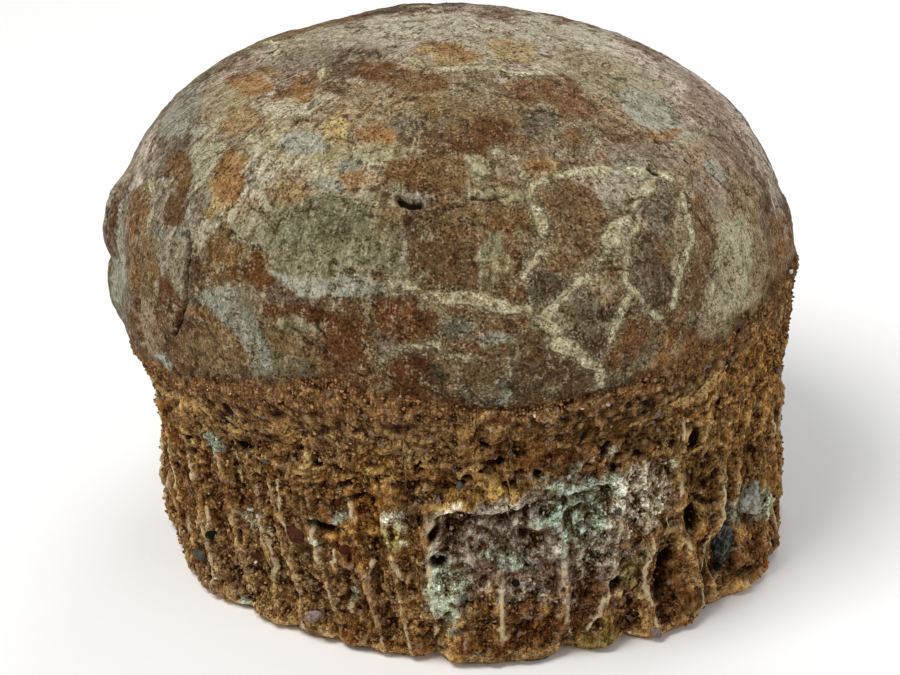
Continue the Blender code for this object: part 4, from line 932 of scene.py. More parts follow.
# %% [markdown]
# Next comes the side itself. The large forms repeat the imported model's: foot, head, scoops, the notches
# between the lobes of the lower edge, the hollows, and the broken grey face under its short overhang. Over
# them lie the finer marks: a raised, worn ridge along each crest, grains of sand, pits where a grain fell
# out, and rougher ground in the band just under the egg.

# %% Large forms of the side
# How far the egg overhangs the block where they meet, by azimuth.
OVERHANGS = [
    (-180, 2.0), (-120, 3.0), (-85, 3.6), (-45, 1.4), (0, 0.4), (30, 1.8), (60, 0.4), (90, 0.0), (140, 1.2),
]
# Radius of the underside, by azimuth.
FOOT_RADII = [
    (-180, 75), (-150, 77), (-120, 78), (-90, 77), (-70, 76), (-58, 77.5), (-45, 75.5), (-30, 75.5),
    (-15, 75.5), (0, 77), (20, 76.5), (38, 79), (52, 79), (61, 81.5), (75, 79.5), (90, 79), (120, 77),
    (150, 76),
]
# Notches between the lobes of the lower edge: azimuth, depth, half width, height.
NOTCHES = [
    (-59, 2, 4, 12), (-45, 2.6, 5, 14), (-34, 1.6, 4, 9), (-25, 2.4, 5, 12), (-19, 1.6, 4, 9),
    (-6.5, 5, 5, 15), (17.5, 4.6, 6, 14), (29, 5, 6, 17), (46.5, 4, 6, 15), (66, 2.4, 5, 12), (84, 3, 5, 14),
    (101, 4, 6, 15), (122, 3.2, 6, 13), (139, 4.4, 6, 16), (160, 3, 5, 12), (178, 4.2, 6, 15),
    (-163, 3, 6, 13), (-146, 4.2, 6, 15), (-127, 3.2, 5, 13), (-108, 3.8, 6, 15), (-88, 2.4, 5, 12),
    (-75, 2, 4, 10),
]
# Hollows knocked out of the side: azimuth, height, half width, half height, depth.
HOLLOWS = [
    (36, 14, 6, 9.5, 3.2), (42, 28, 4, 7, 2.6), (31, 62, 6.5, 4, 2.8), (52, 9, 5, 8, 2.6),
    (-66, 54, 7, 4.5, 1.8), (-33, 52, 9, 4, 1.4), (-20, 40, 7, 6, 1.8), (112, 30, 8, 10, 3),
    (150, 44, 9, 6, 2.6), (-160, 22, 8, 11, 3), (-122, 36, 9, 7, 2.4), (-92, 20, 5, 9, 1.6),
    (60, 50, 3.5, 9, 1.8), (-8, 47, 8, 4, 1.5), (84, 44, 10, 8, 1.5), (70, 13, 6, 5, 1.8),
]
BROKEN_FACE_SPAN = (-7.0, 27.0)
BROKEN_FACE_TOPS = (42.0, 45.5)
BROKEN_FACE_LOW, BROKEN_FACE_DEPTH, BROKEN_FACE_SOFTEN = 20.0, 3.4, 3.0
LOWER_EDGE_INSET, LOWER_EDGE_HEIGHT = 2.2, 3.0
BLOCK_LUMPS = [(19.0, 1.5), (8.0, 0.75)]
SEAT_GAP = 0.35


def scoop_azimuth(scoop, share, height):
    """Azimuth of a place in a scoop, whose crests drift sideways as they run down."""
    rows = crest_table[scoop]
    fall = (CREST_HEIGHT - np.minimum(height, DRIFT_TOP)) / 10.0
    left, right = rows[:, 0] + rows[:, 1] * fall, rows[:, 2] + rows[:, 3] * fall
    return left + share * (right - left)


def egg_reach(azimuth, height):
    """Distance from the block's axis to the plain egg, along an azimuth."""
    angle = np.radians(azimuth)
    ahead = np.column_stack([np.sin(angle) / EGG_RADII[0], -np.cos(angle) / EGG_RADII[1]])
    start = -EGG_CENTRE[:2] / EGG_RADII[:2]
    square, half = (ahead**2).sum(1), ahead @ start
    root = half**2 - square * (start @ start - egg_girth(height) ** 2)
    return (np.sqrt(np.maximum(root, 0.0)) - half) / square


def oval(azimuth, height, radius, row):
    """A soft-edged oval on the side: 1 in its middle, 0 outside. row is azimuth, height and half sizes."""
    across = np.radians(apart(azimuth, row[0])) * radius / row[2]
    return ease(1.4 - np.hypot(across, (height - row[1]) / row[3]))


def broken_face(azimuth, height):
    """1 where the broken grey face lies deepest, just under its overhang, and 0 outside it."""
    left, right = BROKEN_FACE_SPAN
    azimuth = apart(azimuth, 0.0)
    inside = ease((azimuth - left) / BROKEN_FACE_SOFTEN) * ease((right - azimuth) / BROKEN_FACE_SOFTEN)
    low_top, high_top = BROKEN_FACE_TOPS
    top = low_top + (high_top - low_top) * ease((azimuth - left) / (right - left))
    below = (top - height) / (top - BROKEN_FACE_LOW)
    return inside * ease(below * 6.0) * ease(1.0 - below)


def wall_radius(scoop, share, azimuth, height):
    """The side's large forms: distance from the axis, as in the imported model."""
    top = ring_value(RIM_HEIGHTS, azimuth)
    foot = ring_value(FOOT_RADII, azimuth)
    head = egg_reach(azimuth, top) - ring_value(OVERHANGS, azimuth)
    radius = foot + (head - foot) * ease(height / top)
    near_rim = ease((top - height) / 8.0)
    depth, scoop_top = crest_table[scoop, 4], crest_table[scoop, 5]
    across = 2.0 * share - 1.0
    cut = depth * (1.0 - across**2) * ease(height / SCOOP_FOOT - 0.3) * ease((scoop_top - height) / 12.0 + 0.5)
    cut *= 1.0 - 0.8 * ease(3.0 * broken_face(azimuth, height))  # the crumbled face has nearly lost its scoops
    for row in HOLLOWS:
        cut += row[4] * oval(azimuth, height, radius, row)
    for notch_azimuth, deep, half_width, notch_height in NOTCHES:
        away = np.clip(np.abs(np.radians(apart(azimuth, notch_azimuth))) * radius / half_width, 0.0, 1.0)
        cut += deep * (1.0 - away) ** 1.5 * np.clip(1.0 - height / notch_height, 0.0, 1.0)
    cut += BROKEN_FACE_DEPTH * broken_face(azimuth, height)
    place = on_side(azimuth, radius, height)
    radius = radius + 0.6 - cut * near_rim + stacked_lumps(place, BLOCK_LUMPS, 9.4) * (0.4 + 0.6 * near_rim)
    return radius - LOWER_EDGE_INSET * (1.0 - ease(height / LOWER_EDGE_HEIGHT)) ** 2


def on_side(azimuth, radius, height):
    """Point at an azimuth, a distance from the axis and a height."""
    angle = np.radians(azimuth)
    return np.column_stack([radius * np.sin(angle), -radius * np.cos(angle), height])


trial = wall_radius(np.array([3]), np.array([0.5]), np.array([20.0]), np.array([30.0]))
print("the side is", trial.round(1), "mm from the axis half way up at azimuth 20")

# %% [markdown]
# The worn ridges and the cavities that catch the eye have their own places too. On the side a place is an
# azimuth and a height in millimetres.

# %% Ridges and cavities
# Worn ridges: half width, brightness, places. Their pale colour is rubbed, dusty rock and partly a painted
# highlight.
RIDGES = [
    (0.5, 0.7, [(-44.4, 46.5), (-45.1, 40.8), (-44.6, 35.9)]),
    (0.4, 0.9, [(-53.5, 28.2), (-53.3, 24.2), (-53, 20)]),
    (0.4, 0.9, [(-39.7, 38.5), (-39.5, 35.6)]),
    (0.5, 0.7, [(-34, 46.1), (-34.2, 35.3), (-33.5, 27.4), (-32.7, 21.5), (-32.1, 12.2)]),
    (0.6, 1, [(-38.1, 26.8), (-37.9, 19.9), (-37.5, 14), (-36.7, 10.6)]),
    (0.5, 0.6, [(-24.2, 48.7), (-23.4, 43.4), (-21.7, 38.8), (-20.5, 36.4)]),
    (0.5, 0.9, [(-18.6, 29.9), (-18, 24.5), (-18.4, 21.3)]),
    (0.5, 0.7, [(-24.1, 27.9), (-24.1, 23.5)]),
    (0.5, 0.8, [(-13.9, 28.8), (-13.3, 25.4), (-12.3, 22.2)]),
    (0.7, 0.8, [(-21.4, 15.8), (-22.1, 10.8)]),
    (0.3, 0.5, [(-55.2, 35.8), (-55, 30.4)]),
    (0.4, 0.7, [(-59.3, 20.3), (-58.9, 12.9)]),
    (0.4, 0.8, [(-57, 9.1), (-54.3, 4.3)]),
    (0.7, 0.9, [(-7.4, 30.6), (-7, 25.2), (-6.8, 19.9)]),
    (0.4, 0.7, [(-6.7, 12.7), (-6, 6.6)]),
    (0.5, 0.6, [(16.4, 16.2), (17.1, 10.3), (17.9, 4.1)]),
    (0.6, 0.7, [(23.8, 15.6), (22.6, 11.3), (20.8, 6.4)]),
    (0.7, 0.9, [(32.4, 22.5), (32, 17.8), (32.6, 12.9), (34.4, 7.6)]),
    (0.5, 0.7, [(4, 13), (5.7, 8.3)]),
    (0.4, 0.6, [(40.1, 55.3), (39.8, 48.8)]),
    (0.5, 0.8, [(40.3, 41.1), (38.7, 36.5)]),
    (0.5, 0.9, [(39.9, 30), (40.2, 24.3), (41, 20.5), (42.1, 16)]),
    (0.5, 0.7, [(47.9, 26.9), (47.2, 21), (46.9, 13.5), (46.4, 6.5)]),
    (0.5, 0.6, [(58.4, 12.4), (54.9, 10.9), (53.9, 8), (52.8, 3.5)]),
    (0.3, 0.6, [(47.3, 46.9), (48, 41.2)]),
    (0.4, 0.7, [(53.5, 54.1), (52.6, 51), (51.9, 48.3)]),
    (0.4, 0.5, [(-49.6, 28.9), (-49.7, 20.4)]),
    (0.3, 0.5, [(-28, 47.9), (-26.8, 40.8)]),
    (0.4, 0.5, [(-15.4, 64.4), (-14.3, 56.3)]),
    (0.4, 0.6, [(-8.7, 52.1), (-7.5, 44), (-7.1, 39.3)]),
    (0.4, 0.5, [(15.3, 49.8), (14.6, 45.1)]),
    (0.3, 0.5, [(36.1, 35.5), (36.8, 27.5)]),
]
# Cavities: azimuth, height, half width, half height, turn, depth. The material paints them nearly black as
# shade.
CAVITIES = [
    (-41.4, 48.9, 2.8, 1.8, 24, 2), (-39.2, 42.2, 0.8, 0.9, 13, 1.2), (-46.4, 52.2, 1.8, 2.8, 20, 1.2),
    (-31.1, 64.9, 2.3, 1.2, -9, 1.4), (23.2, 66.1, 2.3, 1.6, -12, 2.2), (-6.2, 28.1, 1.8, 1.9, -27, 2),
    (-6.4, 35, 1.4, 2, -5, 1.4), (37.8, 17.9, 1.6, 2.9, -13, 1.8), (36.5, 12, 2, 3, -16, 1.6),
    (43.6, 26.7, 2.1, 2.8, -16, 1.6), (42.3, 48.7, 1.8, 2.8, -16, 1.8), (52, 65.4, 1.6, 2.2, -20, 2),
    (35.8, 12.8, 1.7, 1.5, -25, 1), (-23.5, 49.1, 2.7, 1.1, 1, 1), (-22.2, 45.2, 3.3, 0.8, 31, 1.2),
    (-21.4, 41.1, 3.2, 0.8, 24, 1.2), (-26.3, 33.5, 3.6, 1, -12, 1.5), (-10.6, 47.4, 1.8, 0.9, 7, 1),
    (-47.6, 8.8, 1.5, 2, 22, 1), (26.2, 17.9, 1.9, 1.8, -24, 1.6), (57.1, 4.8, 6.1, 2.4, -29, 1),
    (44.8, 31.3, 4.8, 0.8, -23, 1.2), (-45.4, 21.1, 0.6, 1.6, 1, 1.6), (-36.2, 58.3, 1.9, 1, -19, 1),
    (0.9, 53, 2.2, 0.8, -2, 0.8), (8, 55.6, 1.9, 0.7, -9, 0.8), (30.9, 49, 2, 1.3, -10, 1.2),
    (27.9, 56.2, 2.8, 1.1, -18, 1.2), (-27.7, 51.4, 1.1, 1, 5, 0.8),
]


DRUM_RADIUS = 78.0  # places on the side are measured on a plain drum of this radius


def flat_side(azimuth, height):
    """Points on the plain drum."""
    return on_side(azimuth, np.full(len(azimuth), DRUM_RADIUS), height)


def side_line(places):
    """A smooth line over the drum, through places on the side."""
    azimuths, heights = np.array(places, float).T
    return smooth_line(flat_side(azimuths, heights))


def fine_relief(scoop, share, azimuth, height, place):
    """Ridges, grains, pits and breaks: height in mm, and how worn, how deep and how rough each point is."""
    drum = flat_side(azimuth, height)
    shake = np.column_stack([lumpy(place, 6.0, seed, 3) for seed in (21.0, 22.0, 23.0)])
    drum = drum + shake * 1.1
    spacing = np.radians(crest_table[scoop, 2] - crest_table[scoop, 0]) * DRUM_RADIUS
    to_crest = np.minimum(share, 1.0 - share) * spacing
    broken = lumpy(place, 11.0, 31.0, 2)
    face = broken_face(azimuth, height)
    worn = ease(1.0 - to_crest / 0.9) * ease(broken * 3.0) * ease((crest_table[scoop, 5] - height) / 8.0) * 0.7
    worn *= 1.0 - ease(4.0 * face)
    for half_width, bright, places in RIDGES:
        away, along, _ = from_line(drum, side_line(places), 6.0)
        taper = half_width * (0.6 + 0.5 * np.sin(np.clip(along, 0.02, 0.98) * math.pi))
        worn = np.maximum(worn, bright * ease(1.3 - away / taper / 1.1))
    # Cavities and slots: each sinks the mesh, and the material paints it nearly black as shade.
    deep = np.zeros(len(place))
    for cavity_azimuth, middle, half_width, half_height, turn, depth in CAVITIES:
        across = np.radians(apart(azimuth, cavity_azimuth)) * DRUM_RADIUS + shake[:, 0] * 1.2
        up = height - middle + shake[:, 1] * 1.2
        reach = oval_reach(across, up, half_width, half_height, turn)
        deep = np.maximum(deep, depth / 1.8 * ease(1.45 - reach))
    top = ring_value(RIM_HEIGHTS, azimuth)
    band = ease((height - top + 26.0) / 9.0) * ease((95.0 - np.abs(apart(azimuth, 10.0))) / 30.0)
    band = 0.35 + 0.65 * np.maximum(band, 0.7 * ease(lumpy(place, 22.0, 33.0) * 2.0))
    slots = ease((lumpy(place * np.array([1.0, 1.0, 1.9]), 5.0, 41.0, 4) - 0.36) / 0.2)
    slots *= ease(1.8 * band - 0.9)
    deep = np.maximum(deep, 0.9 * slots * (1.0 - 0.8 * worn))
    coarse, _, coarse_tone = cells(place, 3.4, 1.3)
    middling, _, middling_tone = cells(place, 1.8, 6.1)
    relief = 1.5 * (0.5 - coarse) * (0.3 + coarse_tone) + 0.8 * (0.5 - middling) * (0.4 + middling_tone)
    relief *= band
    relief += 0.8 * lumpy(place, 7.0, 51.0, 4) + 0.7 * lumpy(place, 2.6, 52.0, 3)
    along_tool = drum * np.array([1.0, 1.0, 0.12])
    relief += (1.0 - band) * 0.55 * lumpy(along_tool, 1.5, 55.0, 2)
    jagged = np.abs(lumpy(place, 6.5, 61.0, 4))
    relief += face * (3.4 * jagged - 1.1) + worn * 0.4 - 2.2 * deep
    return relief, worn, deep, band


print(len(RIDGES), "ridges and", len(CAVITIES), "cavities")

# %% [markdown]
# Each column now climbs from the foot until it meets the egg, and stops there in a thin edge. The meeting
# height is found column by column, by walking up the side. The rings inside follow the egg's underside a
# third of a millimetre below it, so the bowl fits the egg as the real rock does.

# %% Shape the block
# The pockets of the two large pebbles. The opening is how far each reaches on towards the front, in degrees.
POCKET_WIDTH, POCKET_RIM, POCKET_SINK, POCKET_OPENING = 5.6, 0.8, 0.4, 2.5
count = len(columns)
probe_heights = np.linspace(36.0, 76.0, 81)
edge = np.zeros(count)
stopped = np.zeros(count, bool)
for height in probe_heights:
    level = np.full(count, height)
    azimuth = scoop_azimuth(column_scoop, column_share, level)
    place = flat_side(azimuth, level)
    extra = 0.55 * lumpy(place, 7.0, 51.0, 4) + 0.8 * lumpy(place, 4.0, 71.0, 2)
    over = level - ring_value(RIM_HEIGHTS, azimuth)
    lean = 0.28 * np.maximum(over, 0.0)
    gap = wall_radius(column_scoop, column_share, azimuth, level) + extra - lean - egg_reach(azimuth, level)
    edge = np.where(stopped, edge, height)
    stopped |= (gap < SEAT_GAP) & (over > -9.0)
print("the rock meets the egg between", edge.min().round(1), "and", edge.max().round(1), "mm up")

rings = BASE_RINGS + WALL_RINGS + BOWL_RINGS
block_shape = bmesh.new()
bmesh.ops.create_grid(block_shape, x_segments=count, y_segments=rings, size=1.0)
for vertex in block_shape.verts:
    turn, tilt = vertex.co.x * math.pi, vertex.co.y * math.pi / 2.0
    vertex.co = (math.cos(tilt) * math.sin(turn), -math.cos(tilt) * math.cos(turn), math.sin(tilt))
bmesh.ops.remove_doubles(block_shape, verts=block_shape.verts, dist=1e-6)
block_shape.verts.index_update()
ball = np.array([vertex.co for vertex in block_shape.verts])
column = np.rint(np.arctan2(ball[:, 0], -ball[:, 1]) * count / math.tau).astype(int) % count
ring = np.rint((1.0 - np.arccos(np.clip(ball[:, 2], -1.0, 1.0)) / math.pi) * rings).astype(int)
scoop, share = column_scoop[column], column_share[column]

climb = np.clip((ring - BASE_RINGS) / WALL_RINGS, 0.0, 1.0) ** 0.97
height = edge[column] * climb
azimuth = scoop_azimuth(scoop, share, height)
radius = wall_radius(scoop, share, azimuth, height)
place = on_side(azimuth, radius, height)
relief, worn, deep, band = fine_relief(scoop, share, azimuth, height, place)
radius = radius + relief * (0.25 + 0.75 * ease(height / 2.0))
for node in ("dark_pebble", "green_pebble"):
    low, high = (np.array(corner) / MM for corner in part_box(node))
    middle = (low + high) / 2.0
    pebble_azimuth = math.degrees(math.atan2(middle[0], -middle[1]))
    open_side = math.copysign(POCKET_OPENING, -pebble_azimuth)  # the pocket opens towards the front
    row = (pebble_azimuth + open_side, middle[2], POCKET_WIDTH, (high[2] - low[2]) / 2.0 + POCKET_RIM)
    floor_radius = math.hypot(middle[0], middle[1]) - POCKET_SINK
    pocket = oval(azimuth, height, radius, row)
    radius += pocket * np.minimum(floor_radius - radius, 0.0)
    # A ring round each pocket is painted dark, as the shade round its pebble.
    deep = np.maximum(deep, 0.5 * ease(4.0 * pocket * (1.0 - pocket)))
touch = egg_reach(azimuth, height) + SEAT_GAP
near_edge = ease((height - edge[column] + 3.0) / 3.0)
radius = np.where(ring > BASE_RINGS, radius + near_edge * np.maximum(touch - radius, 0.0), radius)
rock_points = on_side(azimuth, radius, height)

inside = ring >= BASE_RINGS + WALL_RINGS
sink = (ring - BASE_RINGS - WALL_RINGS) / BOWL_RINGS
rim_point = on_side(azimuth, touch, height)
rim_way = (rim_point - EGG_CENTRE) / EGG_RADII
rim_way /= np.linalg.norm(rim_way, axis=1)[:, None]
bowl_way = rim_way * (1.0 - sink[:, None]) + np.array([0.0, 0.0, -1.0]) * sink[:, None]
bowl_way /= np.linalg.norm(bowl_way, axis=1)[:, None]
bowl_points, bowl_outward = egg_body(bowl_way)
bowl_points += bowl_outward * SEAT_GAP
rock_points[inside] = bowl_points[inside]

under = ring < BASE_RINGS
inward = (ring / BASE_RINGS)[:, None]
foot = rock_points * np.array([1.0, 1.0, 0.0])
rock_points[under] = (foot * inward**0.8)[under]
print("the block reaches", rock_points.min(0).round(1), "to", rock_points.max(0).round(1))

# %% [markdown]
# ## The rock's colours
#
# The sandstone is red-brown. The broken face in front is a lens of grey and purple mudstone with pale green
# edges, and orange clay has washed over the right-hand side. The crests are paler, since they were rubbed
# smooth and hold pale dust, and they are painted paler still as a highlight. The pits and cavities are
# painted nearly black as shade. The stains are laid as they were on the shell.

# %% Stains on the rock
# Azimuth, height, half width, half height, turn, colour, strength.
ROCK_STAINS = [
    # Broad washes first, and then the stains that lie over them.
    (13, 31, 22, 12.7, -4, "grey_mud", 0.9), (21, 40, 12.3, 7.2, -10, "grey_green_rock", 0.9),
    (30, 39, 9.5, 7, -19, "pink_grey", 0.9), (-4, 21, 5.6, 9.2, -4, "grey_green_rock", 0.8),
    (1, 31, 9.3, 9.4, 17, "mauve_grey", 0.8), (12, 23, 16.9, 4.2, -9, "mauve_grey", 0.6),
    (5, 41, 7.6, 4.1, 17, "pink_grey", 0.6), (26, 24, 8, 5, -38, "mauve_grey", 0.6),
    (59, 22, 8.5, 3.6, -24, "pale_green_rock", 0.7), (0, 45, 10.5, 2.2, 19, "gold_clay", 0.8),
    (31, 50, 20.3, 5.1, -23, "gold_tan", 0.6), (-30, 51, 34.8, 10, 16, "gold_tan", 0.4),
    (48, 51, 20.2, 13, -21, "gold_tan", 0.6), (-44, 15, 25.5, 13.7, 22, "sand_tan", 0.55),
    (-18, 40, 5.8, 12.1, 0, "gold_orange", 0.6), (6, 59, 38.7, 6.9, -6, "umber_dark", 0.55),
    (-29, 61, 29.5, 5.9, 14, "rust_brown", 0.4), (-26, 55, 3.2, 6.6, 3, "sand_tan", 0.8),
    (-31, 66, 15.8, 3.4, 13, "umber_dark", 0.5), (-18, 41, 5.2, 5.1, 26, "rust_orange", 0.75),
    (-14, 32, 2.7, 3, -6, "lemon", 0.75), (-13, 38, 1.6, 2.7, 2, "chalk", 0.6),
    (15, 53, 14.6, 6.7, -10, "deep_rust", 0.5), (0, 45, 8.2, 2.5, 17, "ochre_brown", 0.8),
    (-3, 40, 2.7, 2.7, 2, "pink_chalk", 0.8), (-6, 34, 1.8, 3.6, -5, "oxblood", 0.85),
    (3, 37, 5.8, 6.3, -2, "purple_grey", 0.9), (18, 39, 8.6, 8.5, -12, "grey_green_rock", 0.95),
    (11, 43, 6.3, 3.8, -10, "purple_grey", 0.8), (13, 32, 8.9, 2.9, -7, "purple_grey", 0.8),
    (21, 26, 2.6, 1.2, 0, "pale_green_rock", 0.8), (30, 38, 7.3, 5.7, -17, "pink_grey", 0.95),
    (-4, 20, 3.5, 6.4, -9, "pale_green_rock", 0.9), (0, 27, 4.1, 4, 3, "purple_grey", 0.6),
    (8, 25, 11.6, 3.2, -5, "purple_brown", 0.8), (21, 17, 11.2, 6.1, -12, "purple_brown", 0.6),
    (29, 21, 3.7, 4.3, -13, "olive_rock", 0.7), (5, 29, 7.1, 2.7, -14, "grey_green_rock", 0.6),
    (39, 13, 3.3, 7.1, -11, "deep_rust", 0.6), (60, 51, 15.5, 12.8, -24, "sand_orange", 0.7),
    (44, 56, 4.6, 2.3, -18, "sand_orange", 0.7), (36, 75, 14.6, 3.7, -28, "rust_brown", 0.5),
    (44, 27, 2.5, 3.3, -18, "olive_rock", 0.7), (-42, 50, 13.7, 6.6, 19, "umber_dark", 0.35),
    (-50, 56, 14.6, 6.8, 21, "sand_tan", 0.35), (-40, 40, 8.9, 4.5, 27, "umber_dark", 0.2),
    (-49, 12, 12.4, 7.3, 18, "mauve_rock", 0.45), (-25, 17, 12.1, 8, 16, "mauve_rock", 0.35),
    (-21, 58, 5, 4.2, 12, "sand_tan", 0.5), (-9, 56, 5.4, 3.1, 6, "sand_tan", 0.45),
    (-11, 18, 7.8, 6.6, 15, "sand_tan", 0.4), (1, 16, 6.8, 4, 2, "sand_tan", 0.35),
    (15, 11, 12.6, 6.3, -12, "deep_rust", 0.4), (60, 7, 6.6, 4.8, -25, "deep_rust", 0.7),
    (-30, 40, 4.7, 7.4, 17, "umber_dark", 0.25), (-19, 53, 5.3, 6.6, 10, "umber_dark", 0.45),
    (31, 53, 11, 5, -14, "umber_dark", 0.5), (44, 40, 13, 4.3, -18, "umber_dark", 0.25),
    (23, 4, 6.9, 4.5, -1, "olive_rock", 0.5),
]

# Mottling of the whole block: size of its patches, colour, and how high the noise stands before they show.
MOTTLES = [(11, "umber_dark", 0), (7, "sand_orange", 0.1), (5, "sand_tan", 0.12), (4, "deep_rust", 0.1)]
# Crumbly spots of limy or clayey rock: azimuth, height, half width, half height, colour.
ROCK_SPOTS = [
    (-41.6, 26.4, 4.5, 1.5, "chalk"), (-27.7, 29.7, 1.4, 1.2, "chalk"), (-19.5, 44, 1.2, 0.9, "chalk"),
    (-13.8, 37.9, 0.9, 1.6, "chalk"), (-22.9, 36, 2, 1.2, "grey_green_rock"),
    (-49.4, 45.5, 2.4, 2, "grey_green_rock"), (-55.9, 42, 0.9, 1.1, "sand_tan"), (24.9, 51.3, 1, 1, "chalk"),
    (21.8, 50.5, 1.5, 1.2, "pink_chalk"), (50, 64.3, 1.6, 1, "pale_green_rock"),
    (45.5, 52, 1.5, 1.1, "chalk"), (37.4, 44.1, 0.9, 0.9, "chalk"), (33.2, 35.6, 1.2, 0.7, "chalk"),
    (52.8, 26.3, 3.6, 0.8, "pink_chalk"), (14, 44.5, 1.1, 1, "pale_green_rock"),
    (-12.3, 31.6, 0.9, 0.9, "chalk"), (-14.7, 33.7, 1.4, 1, "lemon"),
    (-21.3, 16.5, 1.1, 1.7, "grey_green_rock"), (-44.2, 7, 1.2, 1.8, "sand_tan"),
    (9.1, 26.4, 1.4, 1.6, "grey_green_rock"), (-7.1, 31.6, 1.2, 0.8, "pale_green_rock"),
    (14.8, 52.4, 0.8, 0.8, "sand_tan"), (19.9, 44, 1.2, 0.7, "pale_green_rock"),
    (-2.7, 33.9, 0.9, 0.9, "pink_chalk"), (-46.6, 2.7, 1.2, 1.7, "grey_green_rock"),
]


def back_rock_stains(count=70):
    """Stains for the sides and the back of the block."""
    deal = random.Random(77)
    kinds = ("umber_dark rust_brown deep_rust mauve_rock sand_tan sand_orange olive_rock purple_brown "
             "grey_green_rock umber_dark rust_brown pink_grey").split()
    found = []
    for _ in range(count):
        width = deal.uniform(3.0, 13.0)
        found.append((
            deal.uniform(74.0, 286.0), deal.uniform(2.0, 64.0), width, width * deal.uniform(0.4, 1.3),
            deal.uniform(-40, 40), deal.choice(kinds), deal.uniform(0.3, 0.7),
        ))
    return found


bend = np.column_stack([lumpy(rock_points, 6.0, seed, 4) for seed in (81.0, 82.0)])
frays = [lumpy(rock_points, size, seed, 5) for size, seed in ((4.0, 84.0), (2.8, 85.0), (6.0, 86.0))]
rock_paint = np.tile(COLOUR["sandstone"], (len(rock_points), 1))
for mottle, colour, least in MOTTLES:
    laid = 0.75 * ease((lumpy(rock_points, mottle, mottle, 4) - least) / 0.35)
    rock_paint += laid[:, None] * (COLOUR[colour] - rock_paint)
bent_azimuth = azimuth + np.degrees(bend[:, 0] * 2.4 / DRUM_RADIUS)
bent_height = height + bend[:, 1] * 2.4
spots = [(*row[:4], 0, row[4], 0.9) for row in ROCK_SPOTS]
for number, row in enumerate(back_rock_stains() + ROCK_STAINS + spots):
    patch_azimuth, middle, half_width, half_height, turn, colour, strength = row
    across = np.radians(apart(bent_azimuth, patch_azimuth)) * DRUM_RADIUS
    reach = oval_reach(across, bent_height - middle, half_width, half_height, turn)
    fray = frays[number % 3] * (1 if number % 2 else -1)
    laid = strength * ease((1.3 - reach + 0.7 * fray) / 0.6)
    rock_paint += laid[:, None] * (COLOUR[colour] - rock_paint)
rock_paint[under] = COLOUR["mauve_rock"]

# How far each point of the side stands proud of its neighbours: the material paints the hollows darker as shade
# and the high points paler, partly as highlight.
reach_out = np.where(inside | under, 0.0, radius)
proud = np.clip((reach_out - blurred(reach_out, block_shape, 14)) / 0.55, -1.0, 1.0)
proud[inside | under] = 0.0
worn[inside | under] = 0.0
rock = finished("rock", block_shape, rock_points)
give(rock, paint=rock_paint, worn=worn, deep=deep, proud=proud)
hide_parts("matrix")
rock_outward = np.array([normal.vector for normal in rock.data.vertex_normals])
print("rock:", len(rock.data.polygons) * 2, "triangles at most; highs and lows", proud.std().round(2))

# %% [markdown]
# ## Pebbles and sand
#
# Pebbly sandstone has stones of every kind in it: chert, mudstone, quartz. The ones that stand out are
# placed, and the rest are dealt out by size. Each is a small ball of faces that noise has made angular, sunk
# half into the side. The grains of sand are the same on a smaller scale, with the fewest faces that still
# look round.

# %% Placed pebbles
# Azimuth, height, half width, half height, colour.
PEBBLES = [
    (-30.9, 29.7, 2.2, 2.1, "oxblood"), (-53, 17.5, 1.2, 1.8, "black_chert"),
    (-57.4, 8.3, 2.1, 1.5, "slate_green"), (-36.7, 47, 1.4, 0.5, "slate_green"),
    (17.7, 60.1, 1.2, 1, "slate_green"), (7.5, 21.8, 1.1, 1.1, "black_chert"),
    (52.5, 7.7, 2, 1, "black_chert"), (-2.3, 48.6, 1.3, 0.7, "slate_green"),
    (-0.4, 52.6, 0.9, 0.7, "ochre_brown"), (0.6, 51.8, 1.1, 1.2, "ochre_brown"),
    (-29.1, 7.7, 2.2, 1.3, "purple_grey"), (-1.6, 18.2, 1.1, 0.8, "slate_green"),
    (26.1, 36.3, 1.2, 0.9, "slate_green"),
]


LOOSE_PEBBLES = 60


def add_stones(name, places, outward, sizes, tones, subdivisions, deal):
    """Makes many angular stones at once: one ball, doubled until there are enough, and then knocked about."""
    shape = bmesh.new()
    bmesh.ops.create_icosphere(shape, subdivisions=subdivisions, radius=1.0)
    ball = np.array([vertex.co for vertex in shape.verts])
    while len(shape.verts) < len(ball) * len(places):
        bmesh.ops.duplicate(shape, geom=shape.verts[:] + shape.edges[:] + shape.faces[:])
    bmesh.ops.delete(shape, geom=shape.verts[len(ball) * len(places) :], context="VERTS")
    first = np.cross(outward, deal.normal(size=outward.shape))
    first /= np.linalg.norm(first, axis=1)[:, None]
    second = np.cross(outward, first)
    corners = np.tile(ball, (len(places), 1)).reshape(len(places), len(ball), 3)
    shift = deal.uniform(0.0, 90.0, (len(places), 1, 3))
    knocks = lumpy((corners * 1.1 + shift).reshape(-1, 3), 1.0).reshape(len(places), len(ball), 1)
    corners = corners * (1.0 + 0.6 * knocks) * sizes[:, None, :]
    turned = corners[..., :1] * first[:, None] + corners[..., 1:2] * second[:, None]
    turned += corners[..., 2:] * outward[:, None]
    made = finished(name, shape, (turned + places[:, None]).reshape(-1, 3))
    give(made, paint=np.repeat(tones, len(ball), axis=0))
    return made


